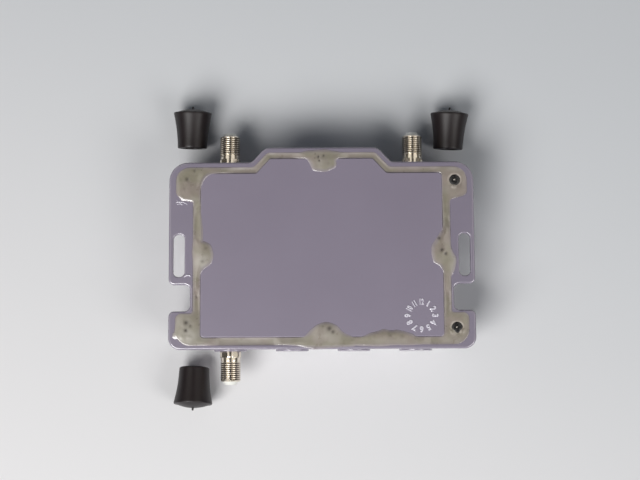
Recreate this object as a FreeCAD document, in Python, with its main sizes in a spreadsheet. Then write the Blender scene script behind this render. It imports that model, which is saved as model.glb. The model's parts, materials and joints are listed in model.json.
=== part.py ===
import FreeCAD, Part
import math
import os
import re
import Sketcher

# Cable TV line amplifier: a die-cast tray sealed at the back by a plate and a bead of epoxy,
# with three screw-on coaxial ports and their three weather caps lying beside it.
# It lies on its front, so the back plate faces up. Origin: middle of the front face, +Z up, millimetres.

doc = FreeCAD.newDocument("cable_tv_amplifier")

# Driving sizes
sizes = (
    ("flangeWidth", 140.0, "across both ears, at the back rim"),
    ("flangeDepth", 92.8, "bottom edge to the raised middle of the top edge"),
    ("caseHeight", 28.0, "front face to back rim"),
    ("flangeThick", 3.0, "ears and rim plate"),
    ("flangeRound", 0.9, "softened outer edge of the rim"),
    ("lowerCornerRadius", 5.3, "ear corners at the bottom edge"),
    ("upperCornerRadius", 8.7, "ear corners at the top edge"),
    ("stepRise", 6.8, "top edge: middle above the shoulders"),
    ("stepInnerX", 25.9, "slant of the top edge: inner end"),
    ("stepOuterX", 32.2, "slant of the top edge: outer end"),
    ("stepInRadius", 3.0, "hollow corner of the slant"),
    ("stepOutRadius", 5.2, "proud corner of the slant"),
    ("earWidth", 9.8, "ears beyond the side walls, and depth of the ear notches"),
    ("notchGap", 1.0, "ear notch from the lobe below it"),
    ("notchWidth", 12.0, "ear notch along the side"),
    ("notchRadius", 2.6, "corners of the ear notch"),
    ("slotInset", 4.7, "middle of the strap slot from the end of the ear"),
    ("slotGap", 3.65, "strap slot from the ear notch below it"),
    ("slotWidth", 5.2, "strap slot across"),
    ("slotLength", 19.5, "strap slot along the side"),
    ("slotFlat", 0.6, "straight part across each end of the strap slot"),
    ("slotRound", 0.6, "softened edge of the strap slot"),
    ("wallSetback", 1.8, "side walls behind the edge of the rim plate"),
    ("wallDraft", 1.0, "draft of the cast side walls, degrees"),
    ("wallCornerRadius", 4.0, "upright corners of the side walls"),
    ("frontRound", 2.4, "edge round the front face"),
    ("floorThick", 2.6, "front wall of the tray"),
    ("rimTop", 2.3, "rim beside the recess, top edge"),
    ("rimBottom", 1.8, "rim beside the recess, bottom edge"),
    ("sideWall", 1.2, "rim beside the recess, sides"),
    ("recessDepth", 2.6, "recess for the back plate, below the rim"),
    ("recessLowerRadius", 7.0, "recess corners at the bottom edge"),
    ("recessUpperRadius", 6.5, "recess corners at the top edge"),
    ("recessInnerRadius", 1.2, "hollow corners where the lobes join the recess"),
    ("lobeInset", 3.1, "four corner lobes from the end of the ear"),
    ("lobeReach", 7.0, "lobe from its screw towards the middle of the side"),
    ("lobeSlant", 2.2, "fall of the upper lobe's lower edge"),
    ("lobeRadius", 2.8, "outer corners of the lobes"),
    ("pillarWall", 1.4, "corner pillar round its lobe"),
    ("pillarRoot", 2.8, "corner pillar into the side wall"),
    ("pillarFoot", 11.0, "height at which the corner pillars start"),
    ("ledge", 2.6, "shelf that carries the back plate"),
    ("cornerScrewInset", 8.7, "corner screws from the end of the ear"),
    ("upperScrewInset", 8.7, "corner screws from the shoulders of the top edge"),
    ("lowerScrewInset", 9.5, "corner screws from the bottom edge"),
    ("sideScrewInset", 3.7, "side screws from the side of the recess"),
    ("sideScrewY", -2.0, "side screws along the side"),
    ("middleScrewInset", 6.1, "middle screws from the top and bottom edges"),
    ("screwBossRadius", 3.4, "boss under a side or middle screw"),
    ("screwHoleSpare", 3.2, "blind screw holes beyond the screw"),
    ("screwRadius", 1.45, "cover screw shank"),
    ("screwLength", 9.0, "cover screw below its head"),
    ("screwHeadRadius", 2.65, "cover screw head"),
    ("screwHeadHeight", 1.5, "cover screw head"),
    ("screwHeadEdge", 0.6, "upright part of a cover screw head"),
    ("screwFit", 0.05, "running space round a screw shank"),
    ("crossWidth", 0.7, "cross recess, one arm across"),
    ("crossLength", 2.9, "cross recess, both arms along"),
    ("crossDepth", 0.8, "cross recess"),
    ("coverThick", 1.2, "back plate under the epoxy"),
    ("coverGap", 0.25, "back plate inside the recess"),
    ("fieldSideInset", 3.6, "raised field from the side of the recess"),
    ("fieldTopInset", 5.2, "raised field from the top edge"),
    ("fieldBottomInset", 5.5, "raised field from the bottom edge"),
    ("fieldRadius", 1.6, "corners of the raised field"),
    ("fieldProud", 0.2, "raised field above the rim"),
    ("fieldRound", 0.4, "edge of the raised field"),
    ("biteGap", 0.85, "bay in the raised field round a screw head"),
    ("coverHoleGap", 0.25, "screw hole in the back plate round the screw"),
    ("beadBelowRim", 0.2, "epoxy below the rim"),
    ("portPitch", 28.575, "between port axes, one and one eighth inch"),
    ("lowerRowShift", 0.4, "bosses of the bottom edge, to the right of those of the top edge"),
    ("portDrop", 13.9, "port axis below the back rim"),
    ("bossRadius", 7.65, "cast boss behind each port"),
    ("bossProud", 0.6, "boss beyond the edge of the rim plate"),
    ("bossRound", 0.5, "edge of the boss"),
    ("shankStep", 0.2, "port barrel inside its boss, smaller than its thread"),
    ("shankLength", 5.0, "port barrel inside its boss"),
    ("pressFit", 0.03, "space left round pressed port pieces"),
    ("collarProud", 0.4, "port collar, larger than the thread"),
    ("flatCut", 0.25, "six flats cut into the collar"),
    ("collarLength", 2.8, "port collar"),
    ("collarEdge", 0.3, "bevel of the collar"),
    ("threadRadius", 4.7, "port thread, three eighths of an inch"),
    ("neckStep", 0.2, "plain neck, smaller than the thread"),
    ("threadStart", 4.85, "end of the plain neck"),
    ("threadEnd", 13.8, "open end of the barrel"),
    ("threadBevel", 0.6, "bevel at the open end"),
    ("reliefWidth", 0.35, "undercut between neck and thread"),
    ("reliefDepth", 0.45, "undercut between neck and thread"),
    ("barrelWall", 1.07, "barrel wall at the thread"),
    ("noseRadius", 2.5, "tip of the insulator"),
    ("noseLength", 1.5, "insulator beyond the barrel"),
    ("contactRadius", 1.1, "centre contact"),
    ("contactBore", 0.55, "hole for the cable's centre wire"),
    ("contactInset", 1.2, "contact behind the insulator's tip"),
    ("wireHoleRadius", 0.7, "hole in the insulator's tip"),
    ("tailRadius", 0.45, "soldered tail of the contact"),
    ("tailLength", 7.5, "tail behind the barrel"),
    ("solderGap", 0.05, "between tail and board"),
    ("boardThick", 1.6, "circuit board"),
    ("boardGap", 0.8, "board to the casting, at the top and bottom edges"),
    ("boardSideGap", 1.4, "board to the screw bosses, at the sides"),
    ("boardScrewInset", 3.5, "board screws from the sides of the board"),
    ("boardScrewLowerInset", 4.3, "board screws from the lower edge of the board"),
    ("boardScrewUpperInset", 4.9, "board screws from the upper edge of the board"),
    ("standoffRadius", 3.2, "board posts"),
    ("boardScrewRadius", 1.25, "board screw shank"),
    ("boardScrewLength", 5.4, "board screw below its head"),
    ("boardHeadRadius", 2.4, "board screw head"),
    ("boardHeadHeight", 1.6, "board screw head"),
    ("moduleX", 4.0, "amplifier module from the middle"),
    ("moduleY", 6.0, "amplifier module from the middle"),
    ("moduleWidth", 24.0, "amplifier module"),
    ("moduleDepth", 15.0, "amplifier module"),
    ("moduleThick", 3.2, "amplifier module"),
    ("padThick", 1.0, "heat pad"),
    ("padMargin", 1.0, "heat pad round the module"),
    ("pedestalMargin", 2.5, "cast pedestal round the module"),
    ("canSideGap", 1.5, "screening can from the chip capacitors"),
    ("canGap", 2.2, "screening can from the ferrite core below it"),
    ("canWidth", 30.0, "screening can"),
    ("canDepth", 28.0, "screening can"),
    ("canHeight", 8.0, "screening can"),
    ("canSheet", 0.4, "sheet of the screening can"),
    ("canRadius", 0.8, "upright edges of the screening can"),
    ("coilRadius", 2.8, "flanges of a wound filter coil"),
    ("coilCoreRadius", 2.1, "winding of a filter coil"),
    ("coilHeight", 5.2, "filter coil"),
    ("coilFlange", 0.8, "flange of a filter coil"),
    ("coilSpacingX", 15.0, "between filter coils"),
    ("coilSpacingY", 12.0, "between filter coils"),
    ("ferriteWidth", 7.0, "two-hole ferrite core"),
    ("ferriteDepth", 4.6, "two-hole ferrite core"),
    ("ferriteHeight", 4.0, "two-hole ferrite core"),
    ("ferriteHoleRadius", 0.9, "hole of the ferrite core"),
    ("ferriteRadius", 0.9, "upright edges of the ferrite core"),
    ("ferriteGap", 7.24, "ferrite cores from the board screw beside them"),
    ("ferriteUpperInset", 9.9, "ferrite cores from the upper edge of the board"),
    ("ferriteLowerInset", 4.6, "ferrite core from the lower edge of the board"),
    ("canisterRadius", 4.0, "electrolytic capacitor"),
    ("canisterHeight", 9.5, "electrolytic capacitor"),
    ("canisterCrimp", 0.4, "crimp of the capacitor's sleeve"),
    ("canisterX", 28.0, "between the two capacitors"),
    ("canisterY", -22.0, "capacitors from the middle"),
    ("canisterPitch", 12.0, "from one capacitor to the other"),
    ("regulatorWidth", 10.0, "voltage regulator"),
    ("regulatorDepth", 9.0, "voltage regulator body"),
    ("regulatorThick", 4.4, "voltage regulator body"),
    ("tabDepth", 6.0, "cooling tab of the regulator"),
    ("tabThick", 1.3, "cooling tab of the regulator"),
    ("tabHoleRadius", 1.8, "hole of the cooling tab"),
    ("regulatorX", 34.0, "voltage regulator from the middle"),
    ("regulatorY", -6.0, "voltage regulator from the middle"),
    ("chokeRadius", 4.6, "power choke, to the middle of its ring"),
    ("chokeRing", 2.1, "power choke, half its ring's thickness"),
    ("chokeX", 8.0, "power choke from the middle"),
    ("chokeGap", 1.6, "power choke from the chip capacitors"),
    ("arresterRadius", 2.4, "surge arrester end caps"),
    ("arresterWaistStep", 0.3, "surge arrester ceramic, smaller than its end caps"),
    ("arresterLength", 7.6, "surge arrester"),
    ("arresterCap", 1.4, "surge arrester end cap"),
    ("arresterGap", 6.56, "surge arrester from the ferrite core beside it"),
    ("chipLength", 2.0, "chip capacitor"),
    ("chipWidth", 1.25, "chip capacitor"),
    ("chipHeight", 0.9, "chip capacitor"),
    ("chipSpacing", 5.0, "between chip capacitors"),
    ("capMouthRadius", 7.05, "weather cap at its open end"),
    ("capLipRadius", 9.05, "weather cap at its closed end"),
    ("capLength", 16.45, "weather cap, mouth to lip"),
    ("capFlareRadius", 68.0, "hollow curve of the cap's side"),
    ("capLipEdge", 0.5, "upright edge of the lip"),
    ("capDomeRise", 2.4, "dome over the lip"),
    ("capDomeRadius", 17.6, "curve of the dome"),
    ("capFit", 0.1, "cap bore round the port thread"),
    ("capBoreDepth", 13.0, "cap bore"),
    ("capEdge", 0.35, "bevels of the cap's mouth"),
    ("nibRadius", 0.5, "moulding nib on the dome"),
    ("nibLength", 1.2, "moulding nib on the dome"),
    ("cornerLumpWidth", 5.3, "epoxy over a corner screw, half width"),
    ("cornerLumpDepth", 6.2, "epoxy over a corner screw, half depth"),
    ("cornerLumpRise", 0.9, "epoxy over a corner screw"),
    ("sideLumpWidth", 6.1, "epoxy over a side screw, half width"),
    ("sideLumpDepth", 8.3, "epoxy over a side screw, half depth"),
    ("topLumpWidth", 7.0, "epoxy over the top screw, half width"),
    ("topLumpDepth", 5.2, "epoxy over the top screw, half depth"),
    ("bottomLumpWidth", 10.0, "epoxy over the bottom screw, half width"),
    ("bottomLumpDepth", 5.9, "epoxy over the bottom screw, half depth"),
    ("lumpRise", 1.1, "epoxy over the side, top and bottom screws"),
    ("runX", 31.0, "epoxy run over the bottom edge of the field"),
    ("runWidth", 10.5, "epoxy run, half width"),
    ("runDepth", 4.2, "epoxy run, half depth"),
    ("runRise", 0.6, "epoxy run"),
    ("inputCapSide", 18.54, "mouth of the input port's cap, outward from the port's axis"),
    ("inputCapAway", 9.8, "mouth of the input port's cap, beyond its boss"),
    ("inputCapAngle", -1.1, "heading of the input port's cap, degrees from straight out"),
    ("outputCapSide", 17.74, "mouth of the output port's cap, outward from the port's axis"),
    ("outputCapAway", 8.8, "mouth of the output port's cap, beyond its boss"),
    ("outputCapAngle", -2.7, "heading of the output port's cap, degrees from straight out"),
    ("powerCapSide", 17.44, "mouth of the power port's cap, outward from the port's axis"),
    ("powerCapAway", 7.1, "mouth of the power port's cap, beyond its boss"),
    ("powerCapAngle", -1.5, "heading of the power port's cap, degrees from straight out"),
)

sheet = doc.addObject("Spreadsheet::Sheet", "Sizes")
for row, (alias, number, note) in enumerate(sizes, 1):
    sheet.set(f"A{row}", note)
    sheet.set(f"B{row}", str(number))
    sheet.setAlias(f"B{row}", alias)
doc.recompute()
aliases = {alias for alias, number, note in sizes}
# How far an edge may lie from a level or line and still count as on it
sameLine = 0.01

# Levels and lines that several pieces share, as sheet formulas
shelfZ = "(caseHeight - recessDepth)"
plateTopZ = f"({shelfZ} + coverThick)"
portZ = "(caseHeight - portDrop)"
boardTopZ = f"({portZ} - tailRadius - solderGap)"
boardBottomZ = f"({boardTopZ} - boardThick)"
lowerEdgeY = "(-flangeDepth / 2)"
shoulderY = "(flangeDepth / 2 - stepRise)"
lowerBossY = f"({lowerEdgeY} - bossProud)"
upperBossY = f"({shoulderY} + bossProud)"
stepRun = "(stepOuterX - stepInnerX)"
stepLean = f"((sqrt({stepRun} ^ 2 + stepRise ^ 2) - {stepRun}) / stepRise)"
wallX = "(flangeWidth / 2 - earWidth)"
recessX = f"({wallX} - sideWall)"
lobeX = "(flangeWidth / 2 - lobeInset)"
cornerScrewX = "(flangeWidth / 2 - cornerScrewInset)"
upperScrewY = f"({shoulderY} - upperScrewInset)"
lowerScrewY = f"({lowerEdgeY} + lowerScrewInset)"
sideScrewX = f"({recessX} - sideScrewInset)"
middleScrewY = "(flangeDepth / 2 - middleScrewInset)"
lowerLobeTop = f"({lowerScrewY} + lobeReach)"
notchLow = f"({lowerLobeTop} + notchGap)"
notchHigh = f"({notchLow} + notchWidth)"
slotX = "(flangeWidth / 2 - slotInset)"
slotY = f"({notchHigh} + slotGap + slotLength / 2)"
boardX = f"({sideScrewX} - screwBossRadius - boardSideGap)"
boardNear = f"(-{middleScrewY} + screwBossRadius + boardGap)"
boardFar = f"({shoulderY} - rimTop - ledge - boardGap)"
boardScrewX = f"({boardX} - boardScrewInset)"
ferriteX = f"({boardScrewX} - boardHeadRadius - ferriteGap - ferriteWidth / 2)"
ferriteUpperY = f"({boardFar} - ferriteUpperInset)"
ferriteLowerY = f"({boardNear} + ferriteLowerInset)"
canX = "(moduleX - 2 * chipSpacing - chipLength / 2 - canSideGap - canWidth / 2)"
canY = f"({ferriteLowerY} + ferriteDepth / 2 + canGap + canDepth / 2)"
shankRadius = "(threadRadius - shankStep)"
collarRadius = "(threadRadius + collarProud)"
barrelBore = "(threadRadius - barrelWall)"
insulatorRadius = f"({barrelBore} - pressFit)"
portReach = "(threadEnd + noseLength)"
capBoreRadius = "(threadRadius + capFit)"


def bound(text):
    # The same formula with each size named through the sheet
    return re.sub(r"[A-Za-z]\w*", lambda word: qualified(word.group()), text)


def qualified(word):
    return "Sizes." + word if word in aliases else word


def value(text):
    return float(sheet.evalExpression(text))


def link(thing, prop, text):
    thing.setExpression(prop, bound(text))


# Sketching: outlines whose corner points, radii and arcs follow the sheet
def newBody(label):
    body = doc.addObject("PartDesign::Body", label)
    body.Label = label
    return body


def newSketch(body, name, role="XY_Plane", lift="0"):
    sketch = body.newObject("Sketcher::SketchObject", f"{body.Name}_{name}")
    plane = [feature for feature in body.Origin.OriginFeatures if feature.Role == role][0]
    sketch.AttachmentSupport = [(plane, "")]
    sketch.MapMode = "FlatFace"
    if lift != "0":
        link(sketch, "AttachmentOffset.Base.z", lift)
    return sketch


def pinPoint(rules, geometry, end, x, y):
    for kind, axis, text in (("DistanceX", -2, x), ("DistanceY", -1, y)):
        if text == "0":
            rules.append((Sketcher.Constraint("PointOnObject", geometry, end, axis), None))
        else:
            rules.append((Sketcher.Constraint(kind, geometry, end, value(text)), text))


def applyRules(sketch, rules):
    first = sketch.ConstraintCount
    sketch.addConstraint([constraint for constraint, text in rules])
    for offset, (constraint, text) in enumerate(rules):
        if text is not None:
            link(sketch, f"Constraints[{first + offset}]", text)


def roundedOutline(sketch, corners):
    # Straight sides through the named corner points, each corner rounded by a tangent arc
    count = len(corners)
    points = [FreeCAD.Vector(value(x), value(y), 0) for x, y, radius in corners]
    entries, exits, arcs = [], [], []
    for index, (x, y, radius) in enumerate(corners):
        corner = points[index]
        before = (corner - points[index - 1]).normalize()
        after = (points[(index + 1) % count] - corner).normalize()
        turn = math.atan2(before.x * after.y - before.y * after.x, before.dot(after))
        if radius is None:
            entries.append(corner)
            exits.append(corner)
            arcs.append(None)
            continue
        reach = value(radius) * math.tan(abs(turn) / 2)
        entries.append(corner - before * reach)
        exits.append(corner + after * reach)
        side = math.copysign(1, turn)
        centre = entries[-1] + FreeCAD.Vector(-before.y, before.x, 0) * side * value(radius)
        ends = (entries[-1], exits[-1]) if side > 0 else (exits[-1], entries[-1])
        angles = [math.atan2(end.y - centre.y, end.x - centre.x) for end in ends]
        if angles[1] < angles[0]:
            angles[1] += 2 * math.pi
        circle = Part.Circle(centre, FreeCAD.Vector(0, 0, 1), value(radius))
        arcs.append((Part.ArcOfCircle(circle, angles[0], angles[1]), side))
    base = sketch.GeometryCount
    lines = [Part.LineSegment(exits[i], entries[(i + 1) % count]) for i in range(count)]
    sketch.addGeometry(lines, False)
    rules = []
    for index, (x, y, radius) in enumerate(corners):
        lineIn = base + (index - 1) % count
        lineOut = base + index
        if arcs[index] is None:
            rules.append((Sketcher.Constraint("Coincident", lineIn, 2, lineOut, 1), None))
            pinPoint(rules, lineOut, 1, x, y)
            continue
        arc, side = arcs[index]
        arcId = sketch.addGeometry(arc, False)
        markId = sketch.addGeometry(Part.Point(points[index]), True)
        start, end = (1, 2) if side > 0 else (2, 1)
        rules.append((Sketcher.Constraint("Tangent", lineIn, 2, arcId, start), None))
        rules.append((Sketcher.Constraint("Tangent", arcId, end, lineOut, 1), None))
        rules.append((Sketcher.Constraint("Radius", arcId, value(radius)), radius))
        rules.append((Sketcher.Constraint("PointOnObject", markId, 1, lineIn), None))
        rules.append((Sketcher.Constraint("PointOnObject", markId, 1, lineOut), None))
        pinPoint(rules, markId, 1, x, y)
    applyRules(sketch, rules)


def rectangle(sketch, centreX, centreY, width, depth, radius=None):
    left, right = f"({centreX}) - ({width}) / 2", f"({centreX}) + ({width}) / 2"
    near, far = f"({centreY}) - ({depth}) / 2", f"({centreY}) + ({depth}) / 2"
    corners = [(left, near), (right, near), (right, far), (left, far)]
    roundedOutline(sketch, [(x, y, radius) for x, y in corners])


def circles(sketch, radius, centres):
    rules = []
    for x, y in centres:
        centre = FreeCAD.Vector(value(x), value(y), 0)
        circleId = sketch.addGeometry(Part.Circle(centre, FreeCAD.Vector(0, 0, 1), value(radius)), False)
        rules.append((Sketcher.Constraint("Radius", circleId, value(radius)), radius))
        pinPoint(rules, circleId, 3, x, y)
    applyRules(sketch, rules)


def latheProfile(sketch, corners):
    # Corners as (radius, height, bend). The bend is None for a straight side to the next corner, or the
    # radius of an arc to it: an arc that turns left on its way, or right where it has a minus sign
    count = len(corners)
    points = [FreeCAD.Vector(value(x), value(y), 0) for x, y, bend in corners]
    base = sketch.GeometryCount
    rules = []
    ends = []
    for index, (x, y, bend) in enumerate(corners):
        start, end = points[index], points[(index + 1) % count]
        if bend is None:
            sketch.addGeometry(Part.LineSegment(start, end), False)
            ends.append((1, 2))
            continue
        side = -1 if bend.startswith("-") else 1
        size = abs(value(bend))
        chord = end - start
        normal = FreeCAD.Vector(-chord.y, chord.x, 0).normalize() * side
        rise = math.sqrt(size ** 2 - (chord.Length / 2) ** 2)
        centre = (start + end) * 0.5 + normal * rise
        pair = (start, end) if side > 0 else (end, start)
        angles = [math.atan2(point.y - centre.y, point.x - centre.x) for point in pair]
        if angles[1] < angles[0]:
            angles[1] += 2 * math.pi
        circle = Part.Circle(centre, FreeCAD.Vector(0, 0, 1), size)
        arcId = sketch.addGeometry(Part.ArcOfCircle(circle, angles[0], angles[1]), False)
        rules.append((Sketcher.Constraint("Radius", arcId, size), bend.lstrip("-")))
        ends.append((1, 2) if side > 0 else (2, 1))
    for index, (x, y, bend) in enumerate(corners):
        previous = (index - 1) % count
        joint = ("Coincident", base + previous, ends[previous][1], base + index, ends[index][0])
        rules.append((Sketcher.Constraint(*joint), None))
        pinPoint(rules, base + index, ends[index][0], x, y)
    applyRules(sketch, rules)


# Features
def extrude(body, kind, sketch, length, down=False, taper=None):
    feature = body.newObject(f"PartDesign::{kind}", f"{sketch.Name}_{kind}")
    feature.Profile = sketch
    link(feature, "Length", length)
    feature.Reversed = down
    if taper:
        link(feature, "TaperAngle", taper)
    body.Tip = feature
    return feature


def pad(body, sketch, length, down=False, taper=None):
    return extrude(body, "Pad", sketch, length, down, taper)


def pocket(body, sketch, length, up=False):
    # A pocket runs against its sketch's normal unless it is turned up
    return extrude(body, "Pocket", sketch, length, up)


def revolve(body, sketch):
    feature = body.newObject("PartDesign::Revolution", f"{sketch.Name}_Revolution")
    feature.Profile = sketch
    feature.ReferenceAxis = (sketch, ["V_Axis"])
    feature.Angle = 360
    body.Tip = feature
    return feature


def soften(body, name, radius, chosen, kind="Fillet"):
    # Rounds or bevels the edges of the body so far that the test picks
    doc.recompute()
    base = body.Tip
    edges = [f"Edge{number}" for number, edge in enumerate(base.Shape.Edges, 1) if chosen(edge)]
    feature = body.newObject(f"PartDesign::{kind}", f"{body.Name}_{name}")
    feature.Base = (base, edges)
    link(feature, "Radius" if kind == "Fillet" else "Size", radius)
    body.Tip = feature
    return feature


def flatAt(height):
    level = value(height)

    def test(edge):
        bounds = edge.BoundBox
        return abs(bounds.ZMin - level) < sameLine and abs(bounds.ZMax - level) < sameLine

    return test


# Outlines, right half from the bottom corner round to the top edge
def mirrored(rightHalf):
    return rightHalf + [(f"-({x})", y, radius) for x, y, radius in reversed(rightHalf)]


def topStep(inset, inRadius, outRadius):
    return [
        (f"stepOuterX - ({inset}) * {stepLean}", f"{shoulderY} - ({inset})", inRadius),
        (f"stepInnerX - ({inset}) * {stepLean}", f"flangeDepth / 2 - ({inset})", outRadius),
    ]


def trayOutline(side, bottomInset, topInset, cornerRadius, stepRadius):
    return mirrored([
        (side, f"{lowerEdgeY} + ({bottomInset})", cornerRadius),
        (side, f"{shoulderY} - ({topInset})", cornerRadius),
    ] + topStep(topInset, stepRadius, stepRadius))


def flangeOutline():
    side = "flangeWidth / 2"
    return mirrored([
        (side, lowerEdgeY, "lowerCornerRadius"),
        (side, notchLow, "notchRadius"),
        (wallX, notchLow, "notchRadius"),
        (wallX, notchHigh, "notchRadius"),
        (side, notchHigh, "notchRadius"),
        (side, shoulderY, "upperCornerRadius"),
    ] + topStep("0", "stepInRadius", "stepOutRadius"))


def recessOutline(gap):
    lobe, side = f"{lobeX} - {gap}", f"{recessX} - {gap}"
    upperLobeFoot = f"{upperScrewY} - lobeReach + {gap}"
    return mirrored([
        (lobe, f"{lowerEdgeY} + rimBottom + {gap}", "recessLowerRadius"),
        (lobe, f"{lowerLobeTop} - {gap}", "lobeRadius"),
        (side, f"{lowerLobeTop} - {gap}", "recessInnerRadius"),
        (side, f"{upperLobeFoot} - lobeSlant", "recessInnerRadius"),
        (lobe, upperLobeFoot, "lobeRadius"),
        (lobe, f"{shoulderY} - rimTop - {gap}", "recessUpperRadius"),
    ] + topStep(f"rimTop + {gap}", "stepInRadius", "stepInRadius"))


# Where the eight cover screws and the four board screws stand
rightCorners = [(cornerScrewX, upperScrewY), (cornerScrewX, lowerScrewY)]
leftCorners = [(f"-{x}", y) for x, y in rightCorners]
edgeScrews = [(sideScrewX, "sideScrewY"), (f"-{sideScrewX}", "sideScrewY"),
              ("0", middleScrewY), ("0", f"-{middleScrewY}")]
coverScrews = rightCorners + leftCorners + edgeScrews
boardScrewLines = (f"{boardNear} + boardScrewLowerInset", f"{boardFar} - boardScrewUpperInset")
boardScrews = [(f"{side}{boardScrewX}", line) for side in ("", "-") for line in boardScrewLines]

# Ports as (name, place along the edge, edge)
ports = (("input", "-1.5 * portPitch", "upper"), ("output", "1.5 * portPitch", "upper"),
         ("power", "-1.5 * portPitch + lowerRowShift", "lower"))
upperBosses = [(x, portZ) for name, x, edge in ports if edge == "upper"]
lowerBosses = [(f"{step} * portPitch + lowerRowShift", portZ) for step in (-1.5, -0.5, 0.5, 1.5)]


# Die-cast tray with ears, slots, notches, port bosses, screw bosses and board posts
def makeHousing():
    body = newBody("housing")
    walls = newSketch(body, "walls", lift="caseHeight - flangeThick")
    roundedOutline(walls, trayOutline(wallX, "wallSetback", "wallSetback", "wallCornerRadius",
                                      "stepInRadius"))
    pad(body, walls, "caseHeight - flangeThick", down=True, taper="-wallDraft")
    soften(body, "front_edge", "frontRound", flatAt("0"))

    pillars = newSketch(body, "pillars", lift="pillarFoot")
    outer = f"{lobeX} + pillarWall"
    inner = f"{wallX} - pillarRoot"
    lowEdges = (f"{lowerEdgeY} + wallSetback", notchLow)
    highEdges = (f"{upperScrewY} - lobeReach - pillarWall", f"{shoulderY} - wallSetback")
    for near, far in (lowEdges, highEdges):
        for side in ("", "-"):
            corners = [(f"{side}({inner})", near, None), (f"{side}({outer})", near, "wallCornerRadius"),
                       (f"{side}({outer})", far, "wallCornerRadius"), (f"{side}({inner})", far, None)]
            roundedOutline(pillars, corners if side == "" else corners[::-1])
    pad(body, pillars, "caseHeight - flangeThick - pillarFoot")

    rim = newSketch(body, "rim", lift="caseHeight - flangeThick")
    roundedOutline(rim, flangeOutline())
    pad(body, rim, "flangeThick")
    soften(body, "rim_edge", "flangeRound", flatAt("caseHeight"))
    slots = newSketch(body, "slots", lift="caseHeight")
    for side in ("", "-"):
        rectangle(slots, f"{side}{slotX}", slotY, "slotWidth", "slotLength", "(slotWidth - slotFlat) / 2")
    pocket(body, slots, "flangeThick")
    soften(body, "slot_edges", "slotRound", isSlotEdge)

    bossDepth = "bossProud + wallSetback + ledge / 2"
    low = newSketch(body, "lower_bosses", "XZ_Plane", f"-{lowerBossY}")
    circles(low, "bossRadius", lowerBosses)
    pad(body, low, bossDepth, down=True)
    high = newSketch(body, "upper_bosses", "XZ_Plane", f"-{upperBossY}")
    circles(high, "bossRadius", upperBosses)
    pad(body, high, bossDepth)
    bossFaces = (value(lowerBossY), value(upperBossY))

    def onBossFace(edge):
        bounds = edge.BoundBox
        return any(abs(bounds.YMin - y) < sameLine and abs(bounds.YMax - y) < sameLine for y in bossFaces)

    soften(body, "boss_edges", "bossRound", onBossFace)

    cavity = newSketch(body, "cavity", lift="caseHeight")
    roundedOutline(cavity, trayOutline(f"{recessX} - ledge", "rimBottom + ledge", "rimTop + ledge",
                                       "recessInnerRadius", "recessInnerRadius"))
    pocket(body, cavity, "caseHeight - floorThick")
    recess = newSketch(body, "recess", lift="caseHeight")
    roundedOutline(recess, recessOutline("0"))
    pocket(body, recess, "recessDepth")

    screwBosses = newSketch(body, "screw_bosses", lift="floorThick")
    circles(screwBosses, "screwBossRadius", edgeScrews)
    pad(body, screwBosses, f"{shelfZ} - floorThick")
    posts = newSketch(body, "board_posts", lift="floorThick")
    circles(posts, "standoffRadius", boardScrews)
    pad(body, posts, f"{boardBottomZ} - floorThick")
    pedestal = newSketch(body, "pedestal", lift="floorThick")
    rectangle(pedestal, "moduleX", "moduleY", "moduleWidth + 2 * pedestalMargin",
              "moduleDepth + 2 * pedestalMargin")
    pad(body, pedestal, f"{boardBottomZ} - moduleThick - padThick - floorThick")

    holes = newSketch(body, "cover_screw_holes", lift=shelfZ)
    circles(holes, "screwRadius + screwFit", coverScrews)
    pocket(body, holes, "screwLength - coverThick + screwHoleSpare")
    boardHoles = newSketch(body, "board_screw_holes", lift=boardBottomZ)
    circles(boardHoles, "boardScrewRadius + screwFit", boardScrews)
    pocket(body, boardHoles, "boardScrewLength - boardThick + screwHoleSpare")

    boreDepth = "bossProud + rimTop + rimBottom + ledge"
    lowerBores = newSketch(body, "lower_bore", "XZ_Plane", f"-{lowerBossY}")
    circles(lowerBores, f"{shankRadius} + pressFit", lowerBosses[:1])
    pocket(body, lowerBores, boreDepth)
    upperBores = newSketch(body, "upper_bores", "XZ_Plane", f"-{upperBossY}")
    circles(upperBores, f"{shankRadius} + pressFit", upperBosses)
    pocket(body, upperBores, boreDepth, up=True)
    return body


def isSlotEdge(edge):
    centre = edge.BoundBox.Center
    inX = abs(abs(centre.x) - value(slotX)) < value("slotWidth / 2") + sameLine
    inY = abs(centre.y - value(slotY)) < value("slotLength / 2") + sameLine
    return flatAt("caseHeight")(edge) and inX and inY


# Back plate: a thin base under the epoxy and a raised field with a bay for each edge screw
def makeCover():
    body = newBody("back_cover")
    base = newSketch(body, "base", lift=shelfZ)
    roundedOutline(base, recessOutline("coverGap"))
    pad(body, base, "coverThick")
    field = newSketch(body, "field", lift=plateTopZ)
    roundedOutline(field, trayOutline(f"{recessX} - fieldSideInset", "fieldBottomInset", "fieldTopInset",
                                      "fieldRadius", "fieldRadius"))
    pad(body, field, "recessDepth - coverThick + fieldProud")
    bays = newSketch(body, "bays", lift="caseHeight + fieldProud")
    circles(bays, "screwHeadRadius + biteGap", edgeScrews)
    pocket(body, bays, "recessDepth - coverThick + fieldProud")
    soften(body, "field_edge", "fieldRound", flatAt("caseHeight + fieldProud"))
    holes = newSketch(body, "holes", lift=plateTopZ)
    circles(holes, "screwRadius + coverHoleGap", coverScrews)
    pocket(body, holes, "coverThick")
    return body


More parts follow.
